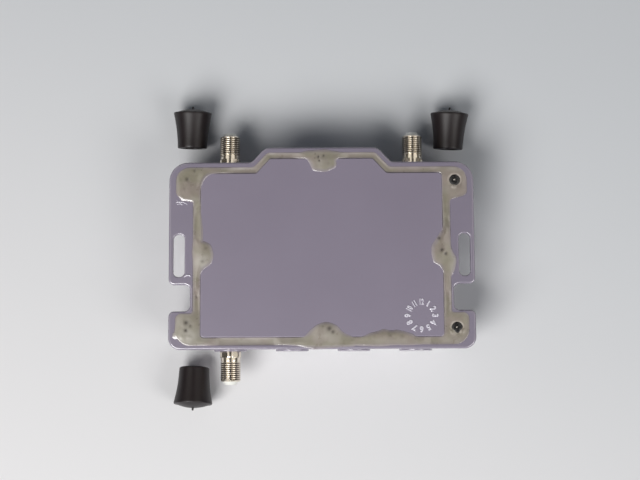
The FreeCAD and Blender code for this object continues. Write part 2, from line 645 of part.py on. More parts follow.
# One cover screw or board screw, standing on the origin by the underside of its head
def makeScrew(name, shank, length, head, height, edge):
    body = newBody(name)
    profile = newSketch(body, "profile", "XZ_Plane")
    latheProfile(profile, [
        ("0", f"-({length})", None),
        (shank, f"-({length})", None),
        (shank, "0", None),
        (head, "0", None),
        (head, edge, f"(({head}) ^ 2 + ({height} - {edge}) ^ 2) / (2 * ({height} - {edge}))"),
        ("0", height, None),
    ])
    revolve(body, profile)
    cross = newSketch(body, "cross", lift=height)
    wide, narrow = "crossLength / 2", "crossWidth / 2"
    arms = [(wide, f"-{narrow}"), (wide, narrow), (narrow, narrow), (narrow, wide), (f"-{narrow}", wide),
            (f"-{narrow}", narrow), (f"-{wide}", narrow), (f"-{wide}", f"-{narrow}"),
            (f"-{narrow}", f"-{narrow}"), (f"-{narrow}", f"-{wide}"), (narrow, f"-{wide}"),
            (narrow, f"-{narrow}")]
    roundedOutline(cross, [(x, y, None) for x, y in arms])
    pocket(body, cross, "crossDepth")
    return body


def copiesAt(label, template, places, level):
    # The same piece at several places, as one group of separate solids
    copies = []
    for number, (x, y) in enumerate(places, 1):
        copy = doc.addObject("App::Link", f"{label}_{number}")
        copy.LinkedObject = template
        link(copy, "Placement.Base.x", x)
        link(copy, "Placement.Base.y", y)
        link(copy, "Placement.Base.z", level)
        copies.append(copy)
    group = doc.addObject("Part::Compound", label)
    group.Label = label
    group.Links = copies
    return group


# Epoxy: a flat bead in the groove, with lumps over the buried screws as (x, y, half width, half depth, rise)
lumps = (
    (f"-{cornerScrewX}", upperScrewY, "cornerLumpWidth", "cornerLumpDepth", "cornerLumpRise"),
    (f"-{cornerScrewX}", lowerScrewY, "cornerLumpWidth", "cornerLumpDepth", "cornerLumpRise"),
    (sideScrewX, "sideScrewY", "sideLumpWidth", "sideLumpDepth", "lumpRise"),
    (f"-{sideScrewX}", "sideScrewY", "sideLumpWidth", "sideLumpDepth", "lumpRise"),
    ("0", middleScrewY, "topLumpWidth", "topLumpDepth", "lumpRise"),
    ("0", f"-{middleScrewY}", "bottomLumpWidth", "bottomLumpDepth", "lumpRise"),
    ("runX", f"-{middleScrewY}", "runWidth", "runDepth", "runRise"),
)


def makeSeal(cutters):
    bead = newBody("bead")
    ring = newSketch(bead, "ring", lift=plateTopZ)
    roundedOutline(ring, recessOutline("0"))
    pad(bead, ring, "recessDepth - coverThick - beadBelowRim")
    pieces = [bead]
    for number, (x, y, width, depth, rise) in enumerate(lumps, 1):
        lump = doc.addObject("Part::Ellipsoid", f"lump_{number}")
        link(lump, "Radius1", rise)
        link(lump, "Radius2", width)
        link(lump, "Radius3", depth)
        lump.Angle1 = 0
        link(lump, "Placement.Base.x", x)
        link(lump, "Placement.Base.y", y)
        link(lump, "Placement.Base.z", "caseHeight - beadBelowRim")
        pieces.append(lump)
    seal = doc.addObject("Part::MultiFuse", "bead_and_lumps")
    seal.Shapes = pieces
    for number, cutter in enumerate(cutters, 1):
        cut = doc.addObject("Part::Cut", f"seal_cut_{number}")
        cut.Base = seal
        cut.Tool = cutter
        seal = cut
    seal.Label = "epoxy_seal"
    return seal


def makeHeadRoom(name, places, height):
    # Round room in the epoxy for the screw heads: open above a bare head, closed over a buried one
    rooms = []
    for number, (x, y) in enumerate(places, 1):
        room = doc.addObject("Part::Cylinder", f"{name}_{number}")
        link(room, "Radius", "screwHeadRadius + screwFit")
        link(room, "Height", height)
        link(room, "Placement.Base.x", x)
        link(room, "Placement.Base.y", y)
        link(room, "Placement.Base.z", plateTopZ)
        rooms.append(room)
    group = doc.addObject("Part::Compound", name)
    group.Links = rooms
    return group


# Coaxial port: barrel, insulator and contact along +Z, with the boss face at the origin
def makeBarrel(label):
    body = newBody(label)
    profile = newSketch(body, "profile", "XZ_Plane")
    latheProfile(profile, [
        (barrelBore, "-shankLength", None),
        (shankRadius, "-shankLength", None),
        (shankRadius, "0", None),
        (f"{collarRadius} - collarEdge", "0", None),
        (collarRadius, "collarEdge", None),
        (collarRadius, "collarLength - collarEdge", None),
        (f"{collarRadius} - collarEdge", "collarLength", None),
        ("threadRadius - neckStep", "collarLength", None),
        ("threadRadius - neckStep", "threadStart - reliefWidth", None),
        ("threadRadius - reliefDepth", "threadStart - reliefWidth", None),
        ("threadRadius - reliefDepth", "threadStart", None),
        ("threadRadius", "threadStart", None),
        ("threadRadius", "threadEnd - threadBevel", None),
        ("threadRadius - threadBevel", "threadEnd", None),
        (barrelBore, "threadEnd", None),
    ])
    revolve(body, profile)
    flats = newSketch(body, "flats", lift="collarLength")
    hexagon(flats, f"({collarRadius} - flatCut)")
    circles(flats, f"2 * {collarRadius}", [("0", "0")])
    pocket(body, flats, "collarLength")
    return body


def hexagon(sketch, flat):
    # The flats lie at the given distance from the middle
    corner = f"({flat} * 2 / sqrt(3))"
    corners = [(corner, "0"), (f"{corner} / 2", flat), (f"-{corner} / 2", flat),
               (f"-{corner}", "0"), (f"-{corner} / 2", f"-{flat}"), (f"{corner} / 2", f"-{flat}")]
    roundedOutline(sketch, [(x, y, None) for x, y in corners])


def makeInsulator(label):
    body = newBody(label)
    profile = newSketch(body, "profile", "XZ_Plane")
    latheProfile(profile, [
        ("contactRadius + pressFit", "-shankLength", None),
        (insulatorRadius, "-shankLength", None),
        (insulatorRadius, "threadEnd", None),
        ("noseRadius", portReach, None),
        ("wireHoleRadius", portReach, None),
        ("wireHoleRadius", f"{portReach} - contactInset + pressFit", None),
        ("contactRadius + pressFit", f"{portReach} - contactInset + pressFit", None),
    ])
    revolve(body, profile)
    return body


def makeContact(label):
    body = newBody(label)
    profile = newSketch(body, "profile", "XZ_Plane")
    latheProfile(profile, [
        ("0", "-shankLength - tailLength", None),
        ("tailRadius", "-shankLength - tailLength", None),
        ("tailRadius", "-shankLength", None),
        ("contactRadius", "-shankLength", None),
        ("contactRadius", f"{portReach} - contactInset", None),
        ("contactBore", f"{portReach} - contactInset", None),
        ("contactBore", "0", None),
        ("0", "0", None),
    ])
    revolve(body, profile)
    return body


def makePorts():
    pieces = []
    for name, x, edge in ports:
        turn = FreeCAD.Rotation(FreeCAD.Vector(1, 0, 0), -90 if edge == "upper" else 90)
        for kind, make in (("barrel", makeBarrel), ("insulator", makeInsulator), ("contact", makeContact)):
            body = make(f"{name}_port_{kind}")
            body.Placement = FreeCAD.Placement(FreeCAD.Vector(), turn)
            link(body, "Placement.Base.x", x)
            link(body, "Placement.Base.y", upperBossY if edge == "upper" else lowerBossY)
            link(body, "Placement.Base.z", portZ)
            pieces.append(body)
    return pieces


# Weather cap, mouth on the origin and opening towards -Z, then laid on its side on mouth and lip
def makeCap(port, portX, edge):
    body = newBody(f"{port}_port_cap")
    profile = newSketch(body, "profile", "XZ_Plane")
    latheProfile(profile, [
        ("0", "capBoreDepth", None),
        (capBoreRadius, "capBoreDepth", None),
        (capBoreRadius, "capEdge", None),
        (f"{capBoreRadius} + capEdge", "0", None),
        ("capMouthRadius - capEdge", "0", None),
        ("capMouthRadius", "capEdge", "-capFlareRadius"),
        ("capLipRadius", "capLength", None),
        ("capLipRadius", "capLength + capLipEdge", "capDomeRadius"),
        ("nibRadius", "capLength + capDomeRise", None),
        ("nibRadius", "capLength + capDomeRise + nibLength", None),
        ("0", "capLength + capDomeRise + nibLength", None),
    ])
    revolve(body, profile)
    mouth, bevel = value("capMouthRadius"), value("capEdge")
    tilt = math.atan2(value("capLipRadius") - mouth, value("capLength") - bevel)
    lift = mouth * math.cos(tilt) - bevel * math.sin(tilt)
    lay = FreeCAD.Rotation(FreeCAD.Vector(1, 0, 0), math.degrees(tilt) - 90)
    upper = edge == "upper"
    heading = value(f"{port}CapAngle") if upper else value(f"{port}CapAngle") + 180
    turn = FreeCAD.Rotation(FreeCAD.Vector(0, 0, 1), heading)
    outward = math.copysign(value(f"{port}CapSide"), value(portX))
    away = value(f"{upperBossY} + {port}CapAway" if upper else f"{lowerBossY} - {port}CapAway")
    place = FreeCAD.Vector(value(portX) + outward, away, lift)
    body.Placement = FreeCAD.Placement(place, turn.multiply(lay))
    return body


# Circuit board and what it carries
def makeBoard():
    body = newBody("circuit_board")
    outline = newSketch(body, "outline", lift=boardBottomZ)
    roundedOutline(outline, [(boardX, boardNear, None), (boardX, boardFar, None),
                             (f"-{boardX}", boardFar, None), (f"-{boardX}", boardNear, None)])
    pad(body, outline, "boardThick")
    holes = newSketch(body, "holes", lift=boardBottomZ)
    circles(holes, "boardScrewRadius + screwFit", boardScrews)
    pocket(body, holes, "boardThick", up=True)
    return body


def makeBlock(label, width, depth, thickness, x, y, level):
    block = doc.addObject("Part::Box", label)
    block.Label = label
    link(block, "Length", width)
    link(block, "Width", depth)
    link(block, "Height", thickness)
    link(block, "Placement.Base.x", f"({x}) - ({width}) / 2")
    link(block, "Placement.Base.y", f"({y}) - ({depth}) / 2")
    link(block, "Placement.Base.z", level)
    return block


def makeCan():
    body = newBody("screening_can")
    outer = newSketch(body, "outer", lift=boardTopZ)
    rectangle(outer, canX, canY, "canWidth", "canDepth", "canRadius")
    pad(body, outer, "canHeight")
    inner = newSketch(body, "inner", lift=boardTopZ)
    rectangle(inner, canX, canY, "canWidth - 2 * canSheet", "canDepth - 2 * canSheet")
    pocket(body, inner, "canHeight - canSheet", up=True)
    return body


def standOnBoard(body, x, y):
    link(body, "Placement.Base.x", x)
    link(body, "Placement.Base.y", y)
    link(body, "Placement.Base.z", boardTopZ)
    return body


def makeTurned(label, corners, x, y):
    body = newBody(label)
    profile = newSketch(body, "profile", "XZ_Plane")
    latheProfile(profile, corners)
    revolve(body, profile)
    return standOnBoard(body, x, y)


def makeCoils():
    corners = [
        ("0", "0", None),
        ("coilRadius", "0", None),
        ("coilRadius", "coilFlange", None),
        ("coilCoreRadius", "coilFlange", None),
        ("coilCoreRadius", "coilHeight - coilFlange", None),
        ("coilRadius", "coilHeight - coilFlange", None),
        ("coilRadius", "coilHeight", None),
        ("0", "coilHeight", None),
    ]
    places = [(f"{canX} {i} coilSpacingX / 2", f"{canY} {j} coilSpacingY / 2") for i in "-+" for j in "-+"]
    return [makeTurned(f"filter_coil_{number}", corners, x, y) for number, (x, y) in enumerate(places, 1)]


def makeCapacitors():
    corners = [
        ("0", "0", None),
        ("canisterRadius", "0", None),
        ("canisterRadius", "canisterCrimp * 3", None),
        ("canisterRadius - canisterCrimp", "canisterCrimp * 4", None),
        ("canisterRadius", "canisterCrimp * 5", None),
        ("canisterRadius", "canisterHeight - canisterCrimp", None),
        ("canisterRadius - canisterCrimp", "canisterHeight", None),
        ("0", "canisterHeight", None),
    ]
    places = [(f"canisterX {side} canisterPitch / 2", "canisterY") for side in "-+"]
    return [makeTurned(f"filter_capacitor_{number}", corners, x, y)
            for number, (x, y) in enumerate(places, 1)]


def makeTransformers():
    # Two-hole ferrite cores beside the ports, where the signal is split off
    places = ((f"-{ferriteX}", ferriteUpperY), (ferriteX, ferriteUpperY), (f"-{ferriteX}", ferriteLowerY))
    made = []
    for number, (x, y) in enumerate(places, 1):
        body = newBody(f"ferrite_transformer_{number}")
        block = newSketch(body, "block")
        rectangle(block, "0", "0", "ferriteWidth", "ferriteDepth", "ferriteRadius")
        pad(body, block, "ferriteHeight")
        tunnels = newSketch(body, "tunnels", "XZ_Plane", "ferriteDepth / 2")
        circles(tunnels, "ferriteHoleRadius", [("ferriteWidth / 4", "ferriteHeight / 2"),
                                               ("-ferriteWidth / 4", "ferriteHeight / 2")])
        pocket(body, tunnels, "ferriteDepth")
        made.append(standOnBoard(body, x, y))
    return made


def makeRegulator():
    body = newBody("voltage_regulator")
    tab = newSketch(body, "tab")
    rectangle(tab, "0", "tabDepth / 2", "regulatorWidth", "regulatorDepth + tabDepth")
    pad(body, tab, "tabThick")
    block = newSketch(body, "block")
    rectangle(block, "0", "0", "regulatorWidth", "regulatorDepth")
    pad(body, block, "regulatorThick")
    hole = newSketch(body, "hole")
    circles(hole, "tabHoleRadius", [("0", "(regulatorDepth + tabDepth) / 2")])
    pocket(body, hole, "tabThick", up=True)
    return standOnBoard(body, "regulatorX", "regulatorY")


def makeArrester():
    body = newBody("surge_arrester")
    profile = newSketch(body, "profile", "XZ_Plane")
    half = "arresterLength / 2"
    waist = "arresterRadius - arresterWaistStep"
    latheProfile(profile, [
        ("0", f"-{half}", None),
        ("arresterRadius", f"-{half}", None),
        ("arresterRadius", f"arresterCap - {half}", None),
        (waist, f"arresterCap - {half}", None),
        (waist, f"{half} - arresterCap", None),
        ("arresterRadius", f"{half} - arresterCap", None),
        ("arresterRadius", half, None),
        ("0", half, None),
    ])
    revolve(body, profile)
    body.Placement = FreeCAD.Placement(FreeCAD.Vector(), FreeCAD.Rotation(FreeCAD.Vector(0, 1, 0), 90))
    link(body, "Placement.Base.x", f"-{ferriteX} + (ferriteWidth + arresterLength) / 2 + arresterGap")
    link(body, "Placement.Base.y", ferriteUpperY)
    link(body, "Placement.Base.z", f"{boardTopZ} + arresterRadius")
    return body


def makeChoke():
    ring = doc.addObject("Part::Torus", "power_choke")
    ring.Label = "power_choke"
    link(ring, "Radius1", "chokeRadius")
    link(ring, "Radius2", "chokeRing")
    link(ring, "Placement.Base.x", "chokeX")
    link(ring, "Placement.Base.y",
         "moduleY + (chipSpacing + chipWidth) / 2 + chokeGap + chokeRadius + chokeRing")
    link(ring, "Placement.Base.z", f"{boardTopZ} + chokeRing")
    return ring


def makeChips():
    chips = []
    for row in range(2):
        for column in range(5):
            x = f"moduleX + ({column} - 2) * chipSpacing"
            y = f"moduleY + ({row} - 0.5) * chipSpacing"
            name = f"chip_{row}_{column}"
            chips.append(makeBlock(name, "chipLength", "chipWidth", "chipHeight", x, y, boardTopZ))
    group = doc.addObject("Part::Compound", "chip_capacitors")
    group.Label = "chip_capacitors"
    group.Links = chips
    return group


housing = makeHousing()
cover = makeCover()
coverScrew = makeScrew("cover_screw", "screwRadius", "screwLength", "screwHeadRadius", "screwHeadHeight",
                       "screwHeadEdge")
boardScrew = makeScrew("board_screw", "boardScrewRadius", "boardScrewLength", "boardHeadRadius",
                       "boardHeadHeight", "screwHeadEdge")
openScrews = copiesAt("corner_screws", coverScrew, rightCorners, plateTopZ)
buriedScrews = copiesAt("buried_cover_screws", coverScrew, leftCorners + edgeScrews, plateTopZ)
fixings = copiesAt("board_screws", boardScrew, boardScrews, boardTopZ)
bareRoom = makeHeadRoom("bare_head_room", rightCorners, "recessDepth")
buriedRoom = makeHeadRoom("buried_head_room", leftCorners + edgeScrews, "screwHeadHeight + screwFit")
seal = makeSeal([housing, cover, bareRoom, buriedRoom])
module = makeBlock("amplifier_module", "moduleWidth", "moduleDepth", "moduleThick", "moduleX", "moduleY",
                   f"{boardBottomZ} - moduleThick")
heatPad = makeBlock("heat_pad", "moduleWidth + 2 * padMargin", "moduleDepth + 2 * padMargin", "padThick",
                    "moduleX", "moduleY", f"{boardBottomZ} - moduleThick - padThick")
pieces = [housing, cover, seal, openScrews, buriedScrews, fixings, makeBoard(), module, heatPad, makeCan(),
          makeRegulator(), makeArrester(), makeChoke(), makeChips()]
pieces += makePorts() + makeCoils() + makeCapacitors() + makeTransformers()
pieces += [makeCap(name, x, edge) for name, x, edge in ports]

doc.recompute()
failed = [thing.Label for thing in doc.Objects if "Invalid" in thing.State or "Error" in thing.State]
if failed:
    raise RuntimeError(f"failed features: {failed}")
for piece in pieces:
    if piece.Shape.isNull() or not piece.Shape.isValid():
        raise RuntimeError(f"bad shape: {piece.Label}")

os.makedirs("parts", exist_ok=True)
for piece in pieces:
    piece.Shape.exportStep(f"parts/{piece.Label}.step")
    print(piece.Label, len(piece.Shape.Solids), round(piece.Shape.Volume, 1))
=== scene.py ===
import json
import math

import bpy
import numpy as np
from mathutils import Matrix, Vector


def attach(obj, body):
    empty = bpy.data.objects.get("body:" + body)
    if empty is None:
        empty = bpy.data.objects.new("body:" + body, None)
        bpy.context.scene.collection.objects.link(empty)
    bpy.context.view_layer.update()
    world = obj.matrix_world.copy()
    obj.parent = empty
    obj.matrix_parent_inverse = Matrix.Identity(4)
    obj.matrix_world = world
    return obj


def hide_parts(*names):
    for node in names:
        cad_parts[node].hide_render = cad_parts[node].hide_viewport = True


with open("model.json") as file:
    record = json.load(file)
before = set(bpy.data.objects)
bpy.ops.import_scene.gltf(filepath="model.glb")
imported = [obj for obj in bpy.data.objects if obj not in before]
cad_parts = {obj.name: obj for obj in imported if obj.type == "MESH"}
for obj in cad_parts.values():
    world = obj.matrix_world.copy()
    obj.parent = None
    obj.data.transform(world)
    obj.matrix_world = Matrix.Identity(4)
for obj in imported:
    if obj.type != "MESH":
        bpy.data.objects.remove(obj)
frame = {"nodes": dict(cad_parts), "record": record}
nodes = frame["nodes"]
scene = bpy.context.scene
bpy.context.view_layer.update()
mm = 0.001
print("frame:", len(nodes), "nodes")


def addNode(tree, kind, inputs=None, **settings):
    # A node with its settings. An input goes by name or number; it is a value, or an output socket to link
    node = tree.nodes.new(kind)
    for key, setting in settings.items():
        setattr(node, key, setting)
    for key, given in (inputs or {}).items():
        if isinstance(given, bpy.types.NodeSocket):
            tree.links.new(given, node.inputs[key])
        else:
            node.inputs[key].default_value = given
    return node


def arithmetic(tree, operation, *values):
    return addNode(tree, "ShaderNodeMath", dict(enumerate(values)), operation=operation).outputs[0]


def smoothShare(tree, value, low, high):
    # 0 below low, 1 above high, an S curve in between
    inputs = {"Value": value, "From Min": low, "From Max": high}
    return addNode(tree, "ShaderNodeMapRange", inputs, interpolation_type="SMOOTHSTEP").outputs[0]


def blend(tree, share, first, second):
    # Two colours mixed, the first at share 0 and the second at share 1
    colours = [given if isinstance(given, bpy.types.NodeSocket) else (*given, 1) for given in (first, second)]
    inputs = {0: share, 6: colours[0], 7: colours[1]}
    return addNode(tree, "ShaderNodeMix", inputs, data_type="RGBA").outputs[2]


def objectPlace(tree):
    return tree.nodes.new("ShaderNodeTexCoord").outputs["Object"]


def newGroup(name, inputs, outputs):
    # An empty node group; inputs as label: default (a place has none), outputs as label: kind of socket
    group = bpy.data.node_groups.new(name, "ShaderNodeTree")
    kinds = {type(None): "NodeSocketVector", tuple: "NodeSocketColor", float: "NodeSocketFloat"}
    for label, preset in inputs.items():
        socket = group.interface.new_socket(name=label, in_out="INPUT", socket_type=kinds[type(preset)])
        if preset is not None:
            socket.default_value = preset
    for label, kind in outputs.items():
        group.interface.new_socket(name=label, in_out="OUTPUT", socket_type=kind)
    return group, group.nodes.new("NodeGroupInput").outputs, group.nodes.new("NodeGroupOutput").inputs


def makeGrain():
    # Colour that drifts in broad patches and fine specks, with a matching height and roughness
    group, given, result = newGroup(
        "surfaceGrain",
        {"Place": None, "Colour": (0.5, 0.5, 0.5, 1), "Drift": 0.06, "Specks": 0.04, "Patch scale": 60.0,
         "Speck scale": 1500.0, "Roughness": 0.4, "Roughness drift": 0.06},
        {"Colour": "NodeSocketColor", "Roughness": "NodeSocketFloat", "Height": "NodeSocketFloat"})
    patchInputs = {"Vector": given["Place"], "Scale": given["Patch scale"], "Detail": 4.0, "Roughness": 0.55}
    speckInputs = {"Vector": given["Place"], "Scale": given["Speck scale"], "Detail": 3.0, "Roughness": 0.6}
    patch = addNode(group, "ShaderNodeTexNoise", patchInputs).outputs[0]
    speck = addNode(group, "ShaderNodeTexNoise", speckInputs).outputs[0]
    patchOff = arithmetic(group, "SUBTRACT", patch, 0.5)
    patchPart = arithmetic(group, "MULTIPLY", patchOff, given["Drift"])
    speckPart = arithmetic(group, "MULTIPLY", arithmetic(group, "SUBTRACT", speck, 0.5), given["Specks"])
    gain = arithmetic(group, "MULTIPLY_ADD", arithmetic(group, "ADD", patchPart, speckPart), 2.0, 1.0)
    tinted = addNode(group, "ShaderNodeVectorMath", {0: given["Colour"], "Scale": gain}, operation="SCALE")
    roughPart = arithmetic(group, "MULTIPLY", patchOff, given["Roughness drift"])
    rough = arithmetic(group, "MULTIPLY_ADD", roughPart, 2.0, given["Roughness"])
    group.links.new(tinted.outputs[0], result["Colour"])
    group.links.new(rough, result["Roughness"])
    group.links.new(speck, result["Height"])
    return group


surfaceGrain = makeGrain()


def newMaterial(name, colour, grain=None, metallic=0.0, roughness=0.4, specular=0.5, bump=0.1,
                bumpDistance=0.00005, coat=0.0, coatRoughness=0.1, coatIor=1.5):
    # A principled material over the grain group; returns what further layers link to
    material = bpy.data.materials.new(name)
    material.use_nodes = True
    tree = material.node_tree
    tree.nodes.clear()
    shader = tree.nodes.new("ShaderNodeBsdfPrincipled")
    tree.links.new(shader.outputs[0], tree.nodes.new("ShaderNodeOutputMaterial").inputs["Surface"])
    grained = tree.nodes.new("ShaderNodeGroup")
    grained.node_tree = surfaceGrain
    tree.links.new(objectPlace(tree), grained.inputs["Place"])
    grained.inputs["Colour"].default_value = (*colour, 1)
    grained.inputs["Roughness"].default_value = roughness
    for label, number in (grain or {}).items():
        grained.inputs[label].default_value = number
    raised = addNode(tree, "ShaderNodeBump",
                     {"Strength": bump, "Distance": bumpDistance, "Height": grained.outputs["Height"]})
    tree.links.new(grained.outputs["Colour"], shader.inputs["Base Color"])
    tree.links.new(grained.outputs["Roughness"], shader.inputs["Roughness"])
    tree.links.new(raised.outputs[0], shader.inputs["Normal"])
    shader.inputs["Metallic"].default_value = metallic
    shader.inputs["Specular IOR Level"].default_value = specular
    shader.inputs["Coat Weight"].default_value = coat
    shader.inputs["Coat Roughness"].default_value = coatRoughness
    shader.inputs["Coat IOR"].default_value = coatIor
    return material, tree, shader, grained


# By slot, with raised_paint for the numbers and the runs of paint: name, colour, what differs from presets of
# newMaterial, and what differs from those of the grain group
looks = {
    "cast_case": ("castPaint", (0.239, 0.207, 0.271),
                  {"roughness": 0.46, "specular": 0.9, "bump": 0.35, "bumpDistance": 0.00004, "coat": 1.0,
                   "coatRoughness": 0.12, "coatIor": 1.9},
                  {"Patch scale": 45.0, "Speck scale": 1100.0, "Drift": 0.06, "Specks": 0.03}),
    "cover_paint": ("coverPaint", (0.238, 0.205, 0.268),
                    {"roughness": 0.50, "specular": 0.9, "bump": 0.22, "bumpDistance": 0.00003, "coat": 0.8,
                     "coatRoughness": 0.15, "coatIor": 1.65},
                    {"Patch scale": 30.0, "Speck scale": 900.0, "Drift": 0.05, "Specks": 0.02}),
    # Much lighter than the casting paint: a painted highlight on the raised numbers and the runs of paint
    "raised_paint": ("raisedPaintHighlight", (0.74, 0.70, 0.78),
                     {"roughness": 0.3, "specular": 0.8, "bump": 0.2, "coat": 1.0, "coatIor": 1.7}, {}),
    "black_screw": ("blackScrew", (0.006, 0.0055, 0.006),
                    {"roughness": 0.36, "specular": 0.45, "coat": 0.3}, {"Specks": 0.3}),
    "white_insulator": ("whiteInsulator", (0.80, 0.79, 0.74), {"roughness": 0.42}, {}),
    "tinned_contact": ("tinnedContact", (0.70, 0.60, 0.38), {"metallic": 1.0, "roughness": 0.3}, {}),
    "cap_rubber": ("capRubber", (0.0105, 0.0066, 0.0074), {"roughness": 0.41, "specular": 0.37, "bump": 0.25},
                   {"Patch scale": 110.0, "Speck scale": 1400.0, "Drift": 0.25, "Specks": 0.25,
                    "Roughness drift": 0.12}),
    "board_green": ("boardGreen", (0.03, 0.16, 0.07), {"roughness": 0.35}, {"Drift": 0.15}),
    "module_black": ("moduleBlack", (0.03, 0.03, 0.03), {"roughness": 0.55}, {"Drift": 0.1}),
    "pad_grey": ("padGrey", (0.35, 0.36, 0.38), {"roughness": 0.7}, {}),
    "tin_plate": ("tinPlate", (0.62, 0.62, 0.62), {"metallic": 1.0, "roughness": 0.32}, {"Drift": 0.1}),
    "ferrite": ("ferrite", (0.06, 0.06, 0.065), {"roughness": 0.6}, {"Drift": 0.2}),
    "sleeve_blue": ("sleeveBlue", (0.02, 0.03, 0.10), {"roughness": 0.3, "coat": 0.3}, {}),
    "arrester_ceramic": ("arresterCeramic", (0.65, 0.62, 0.58), {"roughness": 0.45}, {}),
    "chip_ceramic": ("chipCeramic", (0.38, 0.27, 0.16), {"roughness": 0.5}, {"Drift": 0.2}),
    "steel": ("steel", (0.55, 0.55, 0.56), {"metallic": 1.0, "roughness": 0.3}, {}),
}
# Plating colour, and a dark brown painted as shade in the thread roots
plating = {"colour": (0.82, 0.75, 0.645), "rootShade": (0.060, 0.043, 0.024), "rootShadeFrom": 0.35, "rootShadeTo": 1.15}
# Resin colours, with a lighter one for painted highlights and a dark one for painted shade
resin = {"olive": (0.275, 0.248, 0.182), "pinkish": (0.318, 0.266, 0.226), "paintedHighlight": (0.47, 0.435, 0.375),
         "film": (0.282, 0.243, 0.266), "paintedShade": (0.050, 0.041, 0.033), "cloudScale": 85.0}


def makeNickelFinish():
    # Warm plating, with painted shade where the root attribute marks the bottom of the thread
    material, tree, shader, grained = newMaterial(
        "nickel", plating["colour"], {"Patch scale": 150.0, "Drift": 0.10, "Roughness drift": 0.10},
        metallic=1.0, roughness=0.19, bump=0.15, bumpDistance=0.00002)
    root = addNode(tree, "ShaderNodeAttribute", attribute_name="root").outputs["Fac"]
    rootShadeShare = smoothShare(tree, root, plating["rootShadeFrom"], plating["rootShadeTo"])
    rootShaded = blend(tree, rootShadeShare, grained.outputs["Colour"], plating["rootShade"])
    tree.links.new(rootShaded, shader.inputs["Base Color"])
    return material


def makeEpoxyFinish():
    # Grey-beige resin: olive and pinkish clouds, painted highlights at given spots, greyer where
    # it thins out over the paint (film), painted shade in the pits and at given browner spots
    material, tree, shader, grained = newMaterial(
        "epoxy", resin["olive"],
        {"Patch scale": 230.0, "Speck scale": 900.0, "Drift": 0.16, "Specks": 0.08, "Roughness drift": 0.25},
        roughness=0.34, specular=0.8, bump=0.3, bumpDistance=0.00008, coat=1.0, coatRoughness=0.14,
        coatIor=1.66)
    cloudInputs = {"Vector": objectPlace(tree), "Scale": resin["cloudScale"], "Detail": 3.0, "Roughness": 0.6}
    cloud = addNode(tree, "ShaderNodeTexNoise", cloudInputs).outputs[0]
    tone = blend(tree, smoothShare(tree, cloud, 0.36, 0.64), resin["olive"], resin["pinkish"])
    tree.links.new(tone, grained.inputs["Colour"])
    layer = grained.outputs["Colour"]
    # Layers in turn: painted highlights, the film of thin resin, painted shade
    for attribute in ("paintedHighlight", "film", "paintedShade"):
        amount = addNode(tree, "ShaderNodeAttribute", attribute_name=attribute).outputs["Fac"]
        layer = blend(tree, amount, layer, resin[attribute])
    tree.links.new(layer, shader.inputs["Base Color"])
    return material


finishes = {}
for slot, (name, colour, look, grain) in looks.items():
    finishes[slot] = newMaterial(name, colour, grain, **look)[0]
finishes["nickel"] = makeNickelFinish()
finishes["epoxy"] = makeEpoxyFinish()

for entry in frame["record"]["subparts"]:
    node = nodes[entry["node"]]
    node.data.materials.clear()
    node.data.materials.append(finishes[entry["material_slot"]])
print("materials:", len(bpy.data.materials))


# Mesh helpers. All lengths are in millimetres until the mesh is made

def gridFaces(rows, columns, wrapRows=False, wrapColumns=False):
    # Quads between neighbours of a rows by columns grid, going round where it wraps
    row = np.arange(rows if wrapRows else rows - 1)
    column = np.arange(columns if wrapColumns else columns - 1)
    row, column = np.meshgrid(row, column, indexing="ij")
    nextRow, nextColumn = (row + 1) % rows, (column + 1) % columns
    low, high = row * columns, nextRow * columns
    corners = [low + column, low + nextColumn, high + nextColumn, high + column]
    return np.stack(corners, -1).reshape(-1, 4)


def capped(points, rows, columns, firstPole, lastPole):
    # A grid that goes round in its columns, with the first and the last row each closed to a pole by a fan
    total = rows * columns
    around = np.arange(columns)
    last = around + total - columns
    fans = np.vstack([np.stack([np.full(columns, total), np.roll(around, -1), around], -1),
                      np.stack([np.full(columns, total + 1), last, np.roll(last, -1)], -1)])
    return np.vstack([points, [firstPole, lastPole]]), gridFaces(rows, columns, wrapColumns=True), fans


def spun(profile, segments, ring=False, radiusAt=None):
    # A profile of (r, h) turned about Z: x = r cos t, y = r sin t, z = h. A ring closes on itself; otherwise
    # the two ends get a pole on the axis. radiusAt(r, h, t) may change the radius with the angle
    radii, heights = np.array(profile, float).T
    angle = np.linspace(0, 2 * math.pi, segments, endpoint=False)
    radius, turn = np.meshgrid(radii, angle, indexing="ij")
    height = np.repeat(heights[:, None], segments, 1)
    if radiusAt is not None:
        radius = radiusAt(radius, height, turn)
    points = np.stack([radius * np.cos(turn), radius * np.sin(turn), height], -1).reshape(-1, 3)
    if ring:
        quads = gridFaces(len(radii), segments, wrapRows=True, wrapColumns=True)
        return points, quads, np.zeros((0, 3), int)
    return capped(points, len(radii), segments, [0, 0, heights[0]], [0, 0, heights[-1]])


def moved(points, matrix):
    array = np.array(matrix)
    return points @ array[:3, :3].T + array[:3, 3]


def outward(points, quads, triangles):
    # Faces turned over where the closed shape's signed volume comes out negative
    halves = np.vstack([quads[:, [0, 1, 2]], quads[:, [0, 2, 3]], triangles])
    a, b, c = points[halves[:, 0]], points[halves[:, 1]], points[halves[:, 2]]
    if np.einsum("ij,ij->i", a, np.cross(b, c)).sum() < 0:
        return quads[:, ::-1], triangles[:, ::-1]
    return quads, triangles


